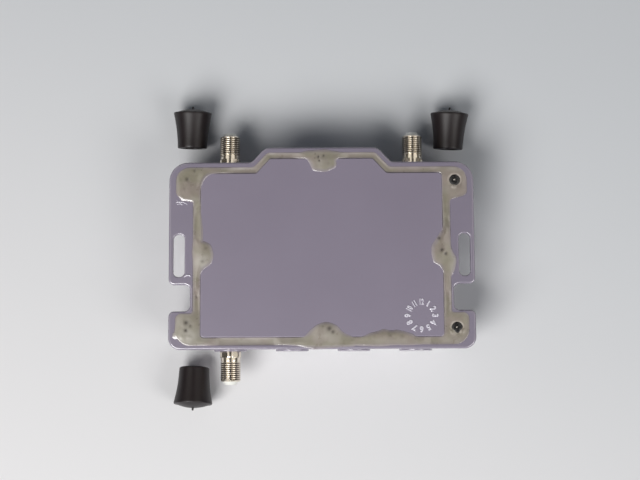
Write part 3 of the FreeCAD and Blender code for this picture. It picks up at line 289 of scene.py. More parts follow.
def meshPiece(name, points, quads, triangles, material, sharp=None, attributes=None):
    # A smooth-shaded piece, sharp where faces meet at more than the given angle; attributes are one per point
    quads, triangles = outward(points, quads, triangles)
    mesh = bpy.data.meshes.new(name)
    mesh.from_pydata((points * mm).tolist(), [], quads.tolist() + triangles.tolist())
    mesh.shade_smooth()
    if sharp:
        mesh.set_sharp_from_angle(angle=math.radians(sharp))
    for key, numbers in (attributes or {}).items():
        mesh.attributes.new(key, "FLOAT", "POINT").data.foreach_set("value", numbers.astype(np.float32))
    mesh.materials.append(material)
    piece = bpy.data.objects.new(name, mesh)
    scene.collection.objects.link(piece)
    print("piece:", name, len(mesh.vertices), "points")
    return piece


def joinedArrays(parts):
    # Several (points, quads, triangles) as one, with the point numbers shifted along
    shift, allPoints, allQuads, allTriangles = 0, [], [], []
    for points, quads, triangles in parts:
        allPoints.append(points)
        allQuads.append(quads + shift)
        allTriangles.append(triangles + shift)
        shift += len(points)
    return np.vstack(allPoints), np.vstack(allQuads), np.vstack(allTriangles)


# Sealing resin. The recess and the raised field of the plate are given by their right halves: x, y, radius
seal = {
    "recess": [(66.9, -44.6, 7.0), (66.9, -29.9, 2.8), (59.0, -29.9, 1.2), (59.0, 21.7, 1.2),
               (66.9, 23.9, 2.8), (66.9, 37.3, 6.5), (31.196, 37.3, 3.0), (24.896, 44.1, 3.0)],
    "field": [(55.4, -40.9, 1.6), (55.4, 34.4, 1.6), (29.929, 34.4, 1.6), (23.629, 41.2, 1.6)],
    "rimZ": 28.0, "fieldZ": 28.2, "plateZ": 26.65, "top": 28.88, "topBlend": 0.08,
    "cell": 0.24, "spanX": (-68.0, 68.0), "spanY": (-47.0, 46.5),
    "level": 27.34, "fall": 2.5, "rimClimb": 0.52, "rimReach": 0.85, "fieldClimb": 0.38, "fieldReach": 0.58,
    "waves": [(7.0, 0.09, 3), (2.2, 0.03, 5)],  # cell, size, seed
    "wobble": (3.2, 0.42), "wobbleSeeds": (11, 12),
    "inside": (-0.45, 0.35), "onField": (-2.4, 1.5), "ramp": 5.0, "patchBlend": 0.12,
    "riseLimits": (0.18, 0.8),
    "wells": [(61.3, 30.9, 0.42), (61.3, -36.9, 0.36)], "wellReach": 2.85,  # x, y, depth
    "drops": [(60.8, 28.0, 0.95), (59.6, -38.7, 1.25), (63.2, -38.4, 1.10), (61.15, 31.1, 0.44),
              (61.1, -36.7, 0.38)], "dropRise": 0.37,  # x, y, radius
    # The last entry is the pit depth that gets the full painted shade
    "pitShare": 0.35, "shadeDepth": 0.38,
}
# Where the resin stands over the edges: foot and rise in height, lean is the rise gained towards +Y, edge is
# the width of the rounded border
patches = [
    {"name": "upper left", "foot": 27.97, "rise": 0.32, "lean": -0.032, "edge": 1.7,
     "outline": [(-66.8, 29.0), (-66.8, 32.5), (-65.7, 35.0), (-63.2, 36.9), (-58.5, 37.4),
                 (-53.1, 37.2), (-46.5, 36.5), (-43.0, 35.8), (-46.5, 35.1), (-49.2, 34.6),
                 (-51.9, 33.3), (-53.9, 31.5), (-55.0, 29.0), (-55.6, 26.6), (-56.0, 23.5),
                 (-57.6, 21.4), (-59.4, 21.2), (-61.6, 21.3), (-64.5, 21.5), (-66.5, 23.6)]},
    {"name": "upper left band", "foot": 27.99, "rise": 0.22, "edge": 0.8,
     "outline": [(-57.4, 22.0), (-58.2, 12.0), (-58.6, 2.0), (-54.0, 2.0), (-53.8, 5.5), (-54.2, 10.0),
                 (-55.0, 14.0), (-55.5, 22.0)]},
    {"name": "left", "foot": 28.04, "rise": 0.36, "edge": 3.0,
     "outline": [(-58.9, 4.4), (-59.0, 1.0), (-59.1, -3.6), (-58.9, -8.4), (-58.4, -13.0),
                 (-57.3, -20.0), (-56.2, -14.6), (-55.4, -11.9), (-54.1, -10.1), (-52.0, -8.7),
                 (-50.3, -7.0), (-49.2, -4.4), (-49.2, -2.0), (-50.2, 0.6), (-52.5, 2.4), (-54.6, 3.4),
                 (-56.4, 5.0)]},
    {"name": "lower left", "foot": 27.93, "rise": 0.44, "lean": -0.034, "edge": 2.3,
     "outline": [(-59.2, -30.1), (-64.1, -31.0), (-66.5, -33.6), (-67.3, -37.3), (-68.5, -39.5),
                 (-67.4, -41.2), (-65.4, -42.3), (-63.9, -43.7), (-61.6, -44.6), (-58.0, -44.8),
                 (-50.0, -44.4), (-50.0, -42.0), (-54.9, -41.6), (-55.9, -39.8), (-56.2, -32.1)]},
    {"name": "top", "foot": 28.04, "rise": 0.28, "lean": -0.01, "edge": 2.6,
     "outline": [(-8.6, 41.6), (-6.9, 40.7), (-5.4, 38.4), (-4.3, 36.4), (-2.6, 35.2), (-0.3, 34.8),
                 (2.5, 35.1), (4.9, 35.9), (6.9, 36.6), (7.3, 38.2), (6.8, 40.2), (8.8, 41.8),
                 (9.6, 43.6), (6.3, 44.9), (2.5, 45.2), (-4.5, 45.2), (-7.1, 44.8), (-10.6, 43.6)]},
    {"name": "right", "foot": 28.04, "rise": 0.3, "edge": 3.2,
     "outline": [(58.2, 9.2), (58.8, 3.9), (59.6, -0.6), (60.8, -3.6), (61.5, -5.8), (61.3, -8.6),
                 (60.2, -11.4), (58.8, -14.0), (57.3, -19.5), (56.3, -14.0), (55.2, -11.2),
                 (54.2, -9.4), (52.8, -8.5), (50.9, -7.4), (49.9, -4.8), (49.7, -2.0), (50.7, 1.4),
                 (52.7, 4.8), (54.6, 6.6), (55.6, 9.6)]},
    {"name": "upper right", "foot": 27.84, "rise": 0.2, "edge": 2.6,
     "outline": [(66.4, 34.4), (66.5, 26.9), (65.0, 24.6), (61.6, 23.4), (59.2, 21.4), (57.3, 14.5),
                 (55.9, 20.0), (55.4, 27.0), (55.4, 33.4), (54.8, 37.1), (61.8, 37.2), (64.4, 36.4),
                 (66.0, 35.2)]},
    {"name": "lower right", "foot": 27.78, "rise": 0.22, "edge": 2.8,
     "outline": [(58.6, -29.8), (61.4, -30.4), (64.6, -30.9), (66.2, -32.8), (66.6, -35.9),
                 (66.6, -39.4), (65.8, -42.1), (64.1, -43.8), (61.1, -44.6), (56.0, -44.6),
                 (49.0, -43.3), (55.6, -41.0), (56.2, -33.0)]},
    {"name": "bottom", "foot": 28.04, "rise": 0.38, "edge": 3.6,
     "outline": [(-21.0, -43.4), (-14.0, -42.2), (-9.4, -41.0), (-6.9, -39.4), (-4.7, -36.9),
                 (-1.9, -34.6), (1.8, -33.5), (5.1, -34.4), (7.8, -36.6), (10.1, -39.2), (12.8, -40.4),
                 (16.5, -41.0), (16.9, -44.9), (9.6, -45.8), (0.4, -46.25), (-5.2, -46.1),
                 (-12.5, -44.9)]},
    {"name": "bottom run", "foot": 28.04, "rise": 0.3, "edge": 1.8,
     "outline": [(14.0, -41.3), (18.9, -40.3), (22.6, -38.8), (28.2, -37.6), (34.7, -37.8),
                 (39.3, -39.3), (43.0, -40.9), (47.0, -42.0), (47.0, -44.4), (30.0, -45.2),
                 (14.0, -45.4)]},
]
# Soft swellings on the patches: x, y, half width, half depth, rise
swells = [(-61.4, 29.4, 4.8, 6.2, 0.12), (-54.8, -1.6, 4.6, 5.4, 0.22), (-62.0, -36.0, 5.0, 5.2, 0.24),
          (-63.4, -40.7, 1.7, 1.3, 0.16), (-60.6, -41.0, 1.6, 1.2, 0.14), (0.6, 39.6, 5.2, 4.2, 0.2),
          (55.4, -0.4, 4.6, 5.6, 0.22), (1.2, -38.8, 6.0, 4.4, 0.22), (29.5, -40.6, 10.0, 2.8, 0.14)]
# Painted highlights, lighter places on the resin: x, y, half width, half depth, share
highlightSpots = [(-54.6, -7.8, 4.8, 5.2, 1.0), (-60.5, -40.6, 9.5, 4.6, 1.0),
             (-62.6, -34.6, 5.0, 5.0, 0.62), (0.8, 38.4, 5.0, 4.4, 0.42), (2.0, -40.5, 9.0, 6.5, 0.5),
             (30.0, -43.4, 17.0, 1.8, 0.35), (-30.0, -43.0, 30.0, 2.4, 0.5),
             (59.4, -8.0, 2.4, 6.0, 0.45), (53.0, -6.0, 4.0, 3.5, 0.25), (58.6, 26.4, 3.6, 2.6, 0.3),
             (61.2, 36.0, 5.0, 1.6, 0.45), (-61.0, 22.3, 6.0, 1.6, 0.45), (60.0, -43.0, 8.0, 2.6, 0.3),
             (0.0, 43.6, 30.0, 1.2, 0.25), (64.3, 36.1, 2.2, 1.2, 0.75), (-23.6, 43.8, 2.0, 0.9, 0.85),
             (-38.5, 36.7, 8.5, 0.75, 0.7)]
# Painted shade, browner places on the resin, the same way
shadeSpots = [(57.2, 14.5, 2.2, 9.0, 0.17), (29.5, -39.0, 9.5, 1.6, 0.2), (1.6, -35.4, 6.0, 1.8, 0.16),
             (-51.4, 1.4, 4.0, 2.4, 0.16), (-57.4, 8.0, 1.6, 7.0, 0.1), (62.4, 27.6, 3.0, 2.4, 0.1),
             (56.6, -20.0, 1.6, 9.0, 0.07)]
# Bubbles and dents: x, y, radius, depth
pits = [(-61.6, 31.7, 0.95, 0.28), (-58.2, 35.6, 0.7, 0.2), (-62.9, 27.4, 0.8, 0.1),
        (-1.3, 42.0, 0.7, 0.6), (1.1, 42.5, 0.55, 0.42), (-0.9, 40.1, 0.55, 0.42),
        (-2.7, 43.3, 0.42, 0.22), (-2.9, 41.4, 0.38, 0.18), (3.2, 38.8, 0.8, 0.1),
        (53.9, 4.0, 0.8, 0.35), (54.8, -1.5, 0.8, 0.36), (56.5, -3.2, 0.75, 0.4),
        (-57.3, -22.4, 0.65, 0.25), (-61.7, -34.1, 1.0, 0.35), (-61.8, -37.7, 0.9, 0.36),
        (-59.8, -35.7, 0.7, 0.2), (3.2, -37.1, 1.2, 0.3), (4.8, -38.6, 0.9, 0.28),
        (0.4, -36.0, 0.6, 0.15), (-54.4, -6.2, 0.8, 0.18), (-53.0, -0.2, 0.9, 0.14),
        (30.6, -39.6, 1.4, 0.12), (36.0, -40.6, 1.0, 0.1)]


def mirrored(rightHalf):
    return rightHalf + [(-x, y, radius) for x, y, radius in reversed(rightHalf)]


def roundedPath(corners, steps=7):
    # Straight sides through the corner points, each corner an arc of its radius
    points = np.array([corner[:2] for corner in corners], float)
    radii = np.array([corner[2] for corner in corners], float)
    before = points - np.roll(points, 1, 0)
    after = np.roll(points, -1, 0) - points
    before /= np.linalg.norm(before, axis=1)[:, None]
    after /= np.linalg.norm(after, axis=1)[:, None]
    turn = np.arctan2(before[:, 0] * after[:, 1] - before[:, 1] * after[:, 0], (before * after).sum(1))
    start = points - before * (radii * np.tan(np.abs(turn) / 2))[:, None]
    side = np.sign(turn)
    centre = start + np.stack([-before[:, 1], before[:, 0]], 1) * (radii * side)[:, None]
    first = np.arctan2(start[:, 1] - centre[:, 1], start[:, 0] - centre[:, 0])
    angles = first[:, None] + turn[:, None] * np.linspace(0, 1, steps)[None, :]
    arcs = centre[:, None, :] + radii[:, None, None] * np.stack([np.cos(angles), np.sin(angles)], -1)
    return arcs.reshape(-1, 2)


def roundedLoop(corners, times=3):
    # Each pass cuts every corner of a closed path at a quarter of its sides
    path = np.array(corners, float)
    for _ in range(times):
        after = np.roll(path, -1, 0)
        path = np.stack([path * 0.75 + after * 0.25, path * 0.25 + after * 0.75], 1).reshape(-1, 2)
    return path


def signedDistance(path, x, y):
    # Distance to the nearest side of a closed path, positive inside it
    nearest = np.full(x.shape, 1e9)
    inside = np.zeros(x.shape, bool)
    for (ax, ay), (bx, by) in zip(path, np.roll(path, -1, 0)):
        dx, dy = bx - ax, by - ay
        share = np.clip(((x - ax) * dx + (y - ay) * dy) / (dx * dx + dy * dy + 1e-12), 0, 1)
        nearest = np.minimum(nearest, (x - ax - share * dx) ** 2 + (y - ay - share * dy) ** 2)
        if abs(dy) > 1e-12:
            inside ^= ((ay > y) != (by > y)) & (x < ax + (y - ay) * dx / dy)
    return np.where(inside, 1, -1) * np.sqrt(nearest)


def softNoise(x, y, cell, seed):
    # Random values from -1 to 1 on a square lattice that repeats after 96 cells, blended smoothly in between
    table = np.random.default_rng(seed).uniform(-1, 1, (97, 97))
    u, v = x / cell + 48.3, y / cell + 48.7
    column, row = np.floor(u).astype(int), np.floor(v).astype(int)
    fu, fv = u - column, v - row
    fu, fv = fu * fu * (3 - 2 * fu), fv * fv * (3 - 2 * fv)
    column, row = column % 96, row % 96
    low = table[row, column] * (1 - fu) + table[row, column + 1] * fu
    high = table[row + 1, column] * (1 - fu) + table[row + 1, column + 1] * fu
    return low * (1 - fv) + high * fv


def smoothMax(a, b, width):
    # The larger of two heights, blended where they come within the width
    share = np.clip(0.5 + 0.5 * (a - b) / width, 0, 1)
    return b + (a - b) * share + width * share * (1 - share)


def softStep(value, low, high):
    # 0 below low, 1 above high, 3 s^2 - 2 s^3 in between
    share = np.clip((value - low) / (high - low), 0, 1)
    return share * share * (3 - 2 * share)


def apartSquared(x, y, middleX, middleY, halfX, halfY):
    # Distance from a middle, counted in half widths and half depths, squared
    return ((x - middleX) / halfX) ** 2 + ((y - middleY) / halfY) ** 2


def spotShares(x, y, spots):
    # Over all spots the largest share e^(-1.3 d^2), d the distance counted in half widths
    amount = np.zeros(x.shape)
    for px, py, halfX, halfY, share in spots:
        amount = np.maximum(amount, share * np.exp(-1.3 * apartSquared(x, y, px, py, halfX, halfY)))
    return amount


def grooveHeight(x, y, toRim, toField):
    # Level + waves + climb e^(-d / reach) at both walls, falling away outside them
    height = np.full(x.shape, seal["level"])
    for cell, size, seed in seal["waves"]:
        height = height + softNoise(x, y, cell, seed) * size
    height = height + seal["rimClimb"] * np.exp(-np.clip(toRim, 0, 9) / seal["rimReach"])
    height = height + seal["fieldClimb"] * np.exp(-np.clip(toField, 0, 9) / seal["fieldReach"])
    return height - seal["fall"] * (np.clip(-toRim, 0, 9) + np.clip(-toField, 0, 9))


def addPatches(x, y, toRim, toField, groove, inside):
    # A patch, d the depth inside its wobbling outline: foot + rise (1 - (1 - d / edge)^2) on the casting, a
    # long soft ramp up from the groove's height inside the groove. Also returns the largest d of all patches
    onField = softStep(-toField, *seal["onField"])
    fall = 3.0 - 2.6 * softStep(np.minimum(toRim, toField), -0.2, 0.2)
    cell, size = seal["wobble"]
    seedX, seedY = seal["wobbleSeeds"]
    wobbleX = x + softNoise(x, y, cell, seedX) * size
    wobbleY = y + softNoise(x, y, cell, seedY) * size
    height, deepest = groove, np.full(x.shape, -9.0)
    for patch in patches:
        depth = signedDistance(roundedLoop(patch["outline"]), wobbleX, wobbleY)
        share = np.clip(depth / patch["edge"], 0, 1)
        middleY = np.mean(patch["outline"], 0)[1]
        rise = np.clip(patch["rise"] + patch.get("lean", 0) * (y - middleY), *seal["riseLimits"])
        foot = patch["foot"] + np.clip(seal["fieldZ"] + 0.01 - patch["foot"], 0, 1) * onField
        crown = foot + rise * (1 - (1 - share) ** 2) + fall * np.clip(depth, -9, 0)
        climb = softStep(depth, -seal["ramp"], patch["edge"])
        ramp = groove + (np.maximum(foot + rise, groove) - groove) * climb
        height = smoothMax(height, crown * (1 - inside) + ramp * inside, seal["patchBlend"])
        deepest = np.maximum(deepest, depth)
    return height, deepest


def addRelief(x, y, height):
    # Swells: + rise e^(-1.6 d^2), d counted in half widths, and uneven. Wells: - depth e^(-(d / reach)^6),
    # which keeps the resin just under the two bare screw heads. Drops on their rims: + rise e^(-(d / r)^2.5).
    # Pits: - share of the depth e^(-(d / r)^2). Also returns the painted shade of the pits, darker the deeper
    # they are
    for middleX, middleY, halfX, halfY, rise in swells:
        apart = apartSquared(x, y, middleX, middleY, halfX, halfY)
        height = height + rise * np.exp(-1.6 * apart) + softNoise(x, y, 1.3, 31) * 0.035 * np.exp(-apart)
    for wellX, wellY, depth in seal["wells"]:
        height = height - depth * np.exp(-(np.hypot(x - wellX, y - wellY) / seal["wellReach"]) ** 6)
    for dropX, dropY, radius in seal["drops"]:
        apart = apartSquared(x, y, dropX, dropY, radius, radius)
        height = height + seal["dropRise"] * np.exp(-apart ** 1.25)
    # Painted shade in the pits
    paintedShade = np.zeros(x.shape)
    for pitX, pitY, radius, depth in pits:
        dent = np.exp(-apartSquared(x, y, pitX, pitY, radius, radius))
        height = height - depth * seal["pitShare"] * dent
        paintedShade = np.maximum(paintedShade, dent * min(1.0, depth / seal["shadeDepth"]))
    return height, paintedShade


def filmShares(toRim, toField, inside, deepest):
    # Thin film: the border of a patch on the casting, and the climb at both walls of the groove
    bare = 1 - softStep(deepest, 0, 2.0)
    film = 0.9 * (1 - inside) * (1 - softStep(deepest, 0, 2.1))
    film = np.maximum(film, 0.75 * np.exp(-np.abs(toRim) / 0.7) * bare)
    film = np.maximum(film, 0.70 * np.exp(-np.abs(toField) / 0.55) * bare)
    return np.clip(film, 0, 1)


def sealHeight(x, y):
    # The resin's surface, the distances inside the two outlines, and the layers of colour on it
    toRim = signedDistance(roundedPath(mirrored(seal["recess"])), x, y)
    toField = -signedDistance(roundedPath(mirrored(seal["field"])), x, y)
    inside = softStep(np.minimum(toRim, toField), *seal["inside"])
    groove = grooveHeight(x, y, toRim, toField)
    height, deepest = addPatches(x, y, toRim, toField, groove, inside)
    height, paintedShade = addRelief(x, y, height)
    height = -smoothMax(-height, np.full(x.shape, -seal["top"]), seal["topBlend"])
    # Painted highlights at the given spots
    paintedHighlight = spotShares(x, y, highlightSpots) * (1 + 0.5 * softNoise(x, y, 2.4, 41))
    # Painted shade in the pits and at the browner spots
    layers = {"paintedShade": np.maximum(paintedShade, spotShares(x, y, shadeSpots)), "paintedHighlight": np.clip(paintedHighlight, 0, 1),
              "film": filmShares(toRim, toField, inside, deepest)}
    return np.minimum(height, seal["top"]), toRim, toField, layers


def makeSeal():
    # A height over a square grid, kept where it stands above the casting, with an underside and an edge
    step = seal["cell"]
    (lowX, highX), (lowY, highY) = seal["spanX"], seal["spanY"]
    x, y = np.meshgrid(np.arange(lowX, highX + step / 2, step), np.arange(lowY, highY + step / 2, step))
    height, toRim, toField, layers = sealHeight(x, y)
    inGroove = (toRim > 0) & (toField > 0)
    ground = np.where(toField < 0, seal["fieldZ"], seal["rimZ"])
    under = np.where(inGroove, seal["plateZ"], ground - 0.3)
    under = np.minimum(under, height - 0.05)
    wanted = inGroove | (height > ground - 0.12)
    cells = wanted[:-1, :-1] | wanted[1:, :-1] | wanted[:-1, 1:] | wanted[1:, 1:]
    rows, columns = x.shape
    row, column = np.nonzero(cells)
    corner = row * columns + column
    top = np.stack([corner, corner + 1, corner + columns + 1, corner + columns], -1)
    total = rows * columns
    sheets = [top, top[:, ::-1] + total]
    padded = np.pad(cells, 1)
    for rowStep, columnStep, first, second in ((-1, 0, 0, 1), (0, 1, 1, 2), (1, 0, 2, 3), (0, -1, 3, 0)):
        bare = ~padded[row + 1 + rowStep, column + 1 + columnStep]
        a, b = top[bare, first], top[bare, second]
        sheets.append(np.stack([b, a, a + total, b + total], -1))
    points = np.vstack([np.stack([x, y, level], -1).reshape(-1, 3) for level in (height, under)])
    used, quads = np.unique(np.vstack(sheets), return_inverse=True)
    quads = quads.reshape(-1, 4)
    attributes = {key: np.tile(amounts.ravel(), 2)[used] for key, amounts in layers.items()}
    piece = meshPiece("sealing_resin", points[used], quads, np.zeros((0, 3), int), finishes["epoxy"],
                      attributes=attributes)
    print("resin triangles:", 2 * len(quads))
    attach(piece, "root")
    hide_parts("epoxy_seal")


makeSeal()

# Thin runs of paint on the left ear, in the light raised paint that stands for their painted highlight
strand = {"rows": 40, "segments": 14, "reach": 0.98, "lift": 0.15, "smoothings": 6}
# Radius, and points of the curve
paintStrands = [
    (0.20, [(-66.9, 20.8), (-65.2, 21.2), (-63.6, 21.2), (-62.4, 20.6), (-61.4, 19.9)]),
    (0.15, [(-66.6, 21.9), (-65.4, 21.2), (-64.4, 20.4), (-63.9, 19.6)]),
    (0.13, [(-66.3, 20.1), (-64.9, 20.3), (-63.4, 20.2)]),
    (0.34, [(-62.8, -13.4), (-62.1, -12.8), (-61.2, -12.5), (-60.4, -12.6), (-59.9, -13.3)]),
]


def makeStrands():
    # A circle swept along the smoothed curve, half sunk, its radius r sqrt(1 - s^2), s from -reach to reach
    rows, segments = strand["rows"], strand["segments"]
    angle = np.linspace(0, 2 * math.pi, segments, endpoint=False)
    taper = np.sqrt(1 - np.linspace(-strand["reach"], strand["reach"], rows) ** 2)
    parts = []
    for size, curve in paintStrands:
        corners = np.array(curve, float)
        share = np.linspace(0, len(corners) - 1, rows)
        path = np.stack([np.interp(share, np.arange(len(corners)), corners[:, axis]) for axis in (0, 1)], 1)
        for _ in range(strand["smoothings"]):
            path[1:-1] = (path[:-2] + path[1:-1] * 2 + path[2:]) / 4
        along = np.gradient(path, axis=0)
        along /= np.linalg.norm(along, axis=1)[:, None]
        across = np.stack([-along[:, 1], along[:, 0]], 1)
        radius = size * taper
        ring = path[:, None, :] + radius[:, None, None] * np.cos(angle)[None, :, None] * across[:, None, :]
        lift = seal["rimZ"] + radius[:, None] * (strand["lift"] + np.sin(angle)[None, :])
        points = np.concatenate([ring, lift[..., None]], -1).reshape(-1, 3)
        parts.append(capped(points, rows, segments, [*path[0], seal["rimZ"]], [*path[-1], seal["rimZ"]]))
    piece = meshPiece("paint_runs", *joinedArrays(parts), finishes["raised_paint"])
    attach(piece, "root")


makeStrands()

# Threaded ports: radii, and distances along the axis from the collar's inner face
port = {"bore": 3.63, "shank": 4.5, "shankLength": 4.9, "collar": 5.1, "flat": 4.85, "collarLength": 2.8,
        "neck": 4.5, "neckEnd": 4.42, "undercut": 4.25, "threadStart": 4.85, "thread": 4.7, "threadEnd": 13.2,
        "open": 13.8, "pitch": 0.94, "depth": 0.25, "height": 14.1, "segments": 96,
        # x and y of the collar's inner face, and the turn about X that points the axis outwards
        "places": {"input": (-42.8625, 40.2, -90), "output": (42.8625, 40.2, -90),
                   "power": (-42.4625, -47.0, 90)}}


def barrelProfile():
    # Distance from the axis and along it, round the wall: shank, collar, neck, undercut, thread, mouth, bore
    bore, shank, collar, neck, undercut, thread = [
        port[key] for key in ("bore", "shank", "collar", "neck", "undercut", "thread")]
    face, neckEnd, mouth = port["collarLength"], port["neckEnd"], port["open"]
    threadRows = np.arange(port["threadStart"], port["threadEnd"], port["pitch"] / 12)
    return [
        (bore, -port["shankLength"]), (shank, -port["shankLength"]), (shank, -0.01),
        (collar - 0.3, 0.0), (collar - 0.12, 0.06), (collar, 0.26), (collar, 0.9), (collar, 1.7),
        (collar, face - 0.3), (collar - 0.1, face - 0.1), (collar - 0.28, face),
        (neck, face + 0.02), (neck, neckEnd), (neck - 0.02, neckEnd + 0.08),
        (undercut, neckEnd + 0.1), (undercut, port["threadStart"] - 0.05),
        *[(thread, height) for height in threadRows],
        (thread - 0.08, port["threadEnd"] + 0.06), (thread - 0.45, mouth - 0.18),
        (thread - 0.6, mouth - 0.06), (thread - 0.72, mouth), (bore + 0.09, mouth), (bore, mouth - 0.08),
        (bore, 8.0), (bore, 2.0)]


def barrelRadius(radius, height, turn):
    # Collar: the smaller of its radius and flat / cos(angle from the flat's middle). Thread: radius minus
    # depth times a rounded V of (height / pitch - turn / one round), fading out at both ends
    sixth = math.pi / 3
    fromFlat = (turn + sixth / 2) % sixth - sixth / 2
    hexagon = port["flat"] / np.cos(fromFlat)
    onCollar = (height > -0.005) & (height < port["collarLength"] + 0.01)
    onThread = (height >= port["threadStart"]) & (radius > port["thread"] - 0.01)
    radius = np.where(onCollar, np.minimum(radius, hexagon), radius)
    phase = (height / port["pitch"] - turn / (2 * math.pi)) % 1.0
    groove = softStep(1 - np.abs(phase * 2 - 1), 0.16, 0.88)
    start = np.clip((height - port["threadStart"]) / 0.35, 0, 1)
    end = np.clip((port["threadEnd"] + 0.1 - height) / 0.3, 0, 1)
    return np.where(onThread, radius - port["depth"] * groove * start * end, radius)


def makeBarrels():
    # The root attribute is the share of the thread's depth, for the painted shade in the thread roots
    points, quads, triangles = spun(barrelProfile(), port["segments"], ring=True, radiusAt=barrelRadius)
    fromAxis, height = np.hypot(points[:, 0], points[:, 1]), points[:, 2]
    onThread = (height > port["threadStart"]) & (height < port["threadEnd"])
    onThread &= fromAxis > (port["bore"] + port["thread"]) / 2
    root = np.where(onThread, np.clip((port["thread"] - fromAxis) / port["depth"], 0, 1), 0)
    for name, (x, y, turn) in port["places"].items():
        place = Matrix.Translation((x, y, port["height"])) @ Matrix.Rotation(math.radians(turn), 4, "X")
        piece = meshPiece(f"{name}_threaded_port", moved(points, place), quads, triangles, finishes["nickel"],
                          sharp=28, attributes={"root": root})
        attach(piece, "root")
        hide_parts(f"{name}_port_barrel")


makeBarrels()

# Bare corner screws: x, y, turn of the cross
screw = {"places": [(61.3, 30.9, 0.5), (61.3, -36.9, 0.2)], "seat": 26.6, "head": 2.62, "height": 1.62,
         "edge": 1.16, "shank": 1.45, "length": 9.0, "armWidth": 0.62, "armSlope": 0.14, "armLength": 3.1,
         "core": 0.78, "coreSlope": 0.3, "recess": 0.45, "rings": 44, "segments": 120}


def screwShape(turn):
    # Head: height = edge + (top - edge)(1 - (r / head)^2), a cross sunk into it, arms tapering to the floor
    head, shank, length = screw["head"], screw["shank"], screw["length"]
    angle = np.linspace(0, 2 * math.pi, screw["segments"], endpoint=False)
    radius, theta = np.meshgrid(np.linspace(0.04, 1, screw["rings"]) * head, angle, indexing="ij")
    x, y = radius * np.cos(theta), radius * np.sin(theta)
    height = screw["edge"] + (screw["height"] - screw["edge"]) * (1 - (radius / head) ** 2)
    alongArm = np.abs(x * math.cos(turn) + y * math.sin(turn))
    acrossArm = np.abs(y * math.cos(turn) - x * math.sin(turn))
    near, far = np.minimum(alongArm, acrossArm), np.maximum(alongArm, acrossArm)
    arm = np.clip((screw["armWidth"] / 2 + screw["armSlope"] - near) / screw["armSlope"], 0, 1)
    arm = arm * np.clip((screw["armLength"] / 2 - far) / 0.35, 0, 1)
    core = np.clip((screw["core"] - radius) / screw["coreSlope"], 0, 1)
    height = height - screw["recess"] * np.maximum(arm * 0.85, core)
    rows = [np.stack([x, y, height], -1).reshape(-1, 3)]
    below = [(head, 0.3), (head - 0.07, 0.03), (shank, 0.0), (shank, 0.4 - length), (shank - 0.45, -length)]
    for radius, level in below:
        ring = [radius * np.cos(angle), radius * np.sin(angle), np.full(len(angle), level)]
        rows.append(np.stack(ring, -1))
    return capped(np.vstack(rows), screw["rings"] + len(below), len(angle),
                  [0, 0, height[0].mean()], [0, 0, -length])


def makeScrews():
    parts = []
    for x, y, turn in screw["places"]:
        points, quads, triangles = screwShape(turn)
        parts.append((points + np.array([x, y, screw["seat"]]), quads, triangles))
    piece = meshPiece("cross_head_screws", *joinedArrays(parts), finishes["black_screw"], sharp=35)
    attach(piece, "root")
    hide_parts("corner_screws")


makeScrews()

# Weather caps: radii, lengths along the axis from the mouth, and the radius of the hollow flare
cap = {"mouth": 7.05, "lip": 9.05, "length": 16.45, "flare": 68.0, "bore": 4.8, "boreDepth": 13.0,
       "dome": 1.8, "edge": 0.35, "segments": 128,
       # x, y and the heading of the axis
       "places": {"input": (-61.4, 50.0, -1.1), "output": (60.6, 49.0, -2.7), "power": (-59.9, -54.1, 178.5)}}


def capProfile():
    # From the bore's floor over the mouth, along the hollow flare to the lip, and over the dome to the nib.
    # Flare: a straight chord less the sag 4 s (1 - s) chord^2 / (8 radius)
    bore, deep, mouth, lip, length = [cap[key] for key in ("bore", "boreDepth", "mouth", "lip", "length")]
    inner = [(0.4, deep), (bore - 0.5, deep), (bore, deep - 0.4), (bore, 6.0), (bore, 0.6),
             (bore + 0.1, 0.25), (bore + 0.4, 0.05), (bore + 0.8, 0.0), (bore + 1.5, 0.0)]
    border = [(mouth - 0.35, 0.05), (mouth - 0.1, 0.22), (mouth, 0.5)]
    rise = length - 0.5
    along = np.linspace(0, 1, 26)[1:]
    sag = rise ** 2 / (8 * cap["flare"]) * 4 * along * (1 - along)
    side = list(zip(mouth + (lip - mouth) * along - sag, 0.5 + rise * along))
    bead = [(lip, length + 0.15), (lip - 0.05, length + 0.43), (lip - 0.19, length + 0.61),
            (lip - 0.39, length + 0.67), (lip - 0.59, length + 0.61), (lip - 0.71, length + 0.53)]
    foot, domeRadius = length + 0.55, lip - 0.75
    share = np.linspace(1, 0, 16)[1:-1]
    share = share[domeRadius * share > 0.75]
    dome = list(zip(domeRadius * share, foot + cap["dome"] * (1 - share ** 2)))
    nibFoot = foot + cap["dome"]
    nib = [(0.62, nibFoot + 0.04), (0.5, nibFoot + 0.15), (0.46, nibFoot + 0.9), (0.38, nibFoot + 1.15),
           (0.2, nibFoot + 1.25)]
    return inner + border + side + bead + dome + nib


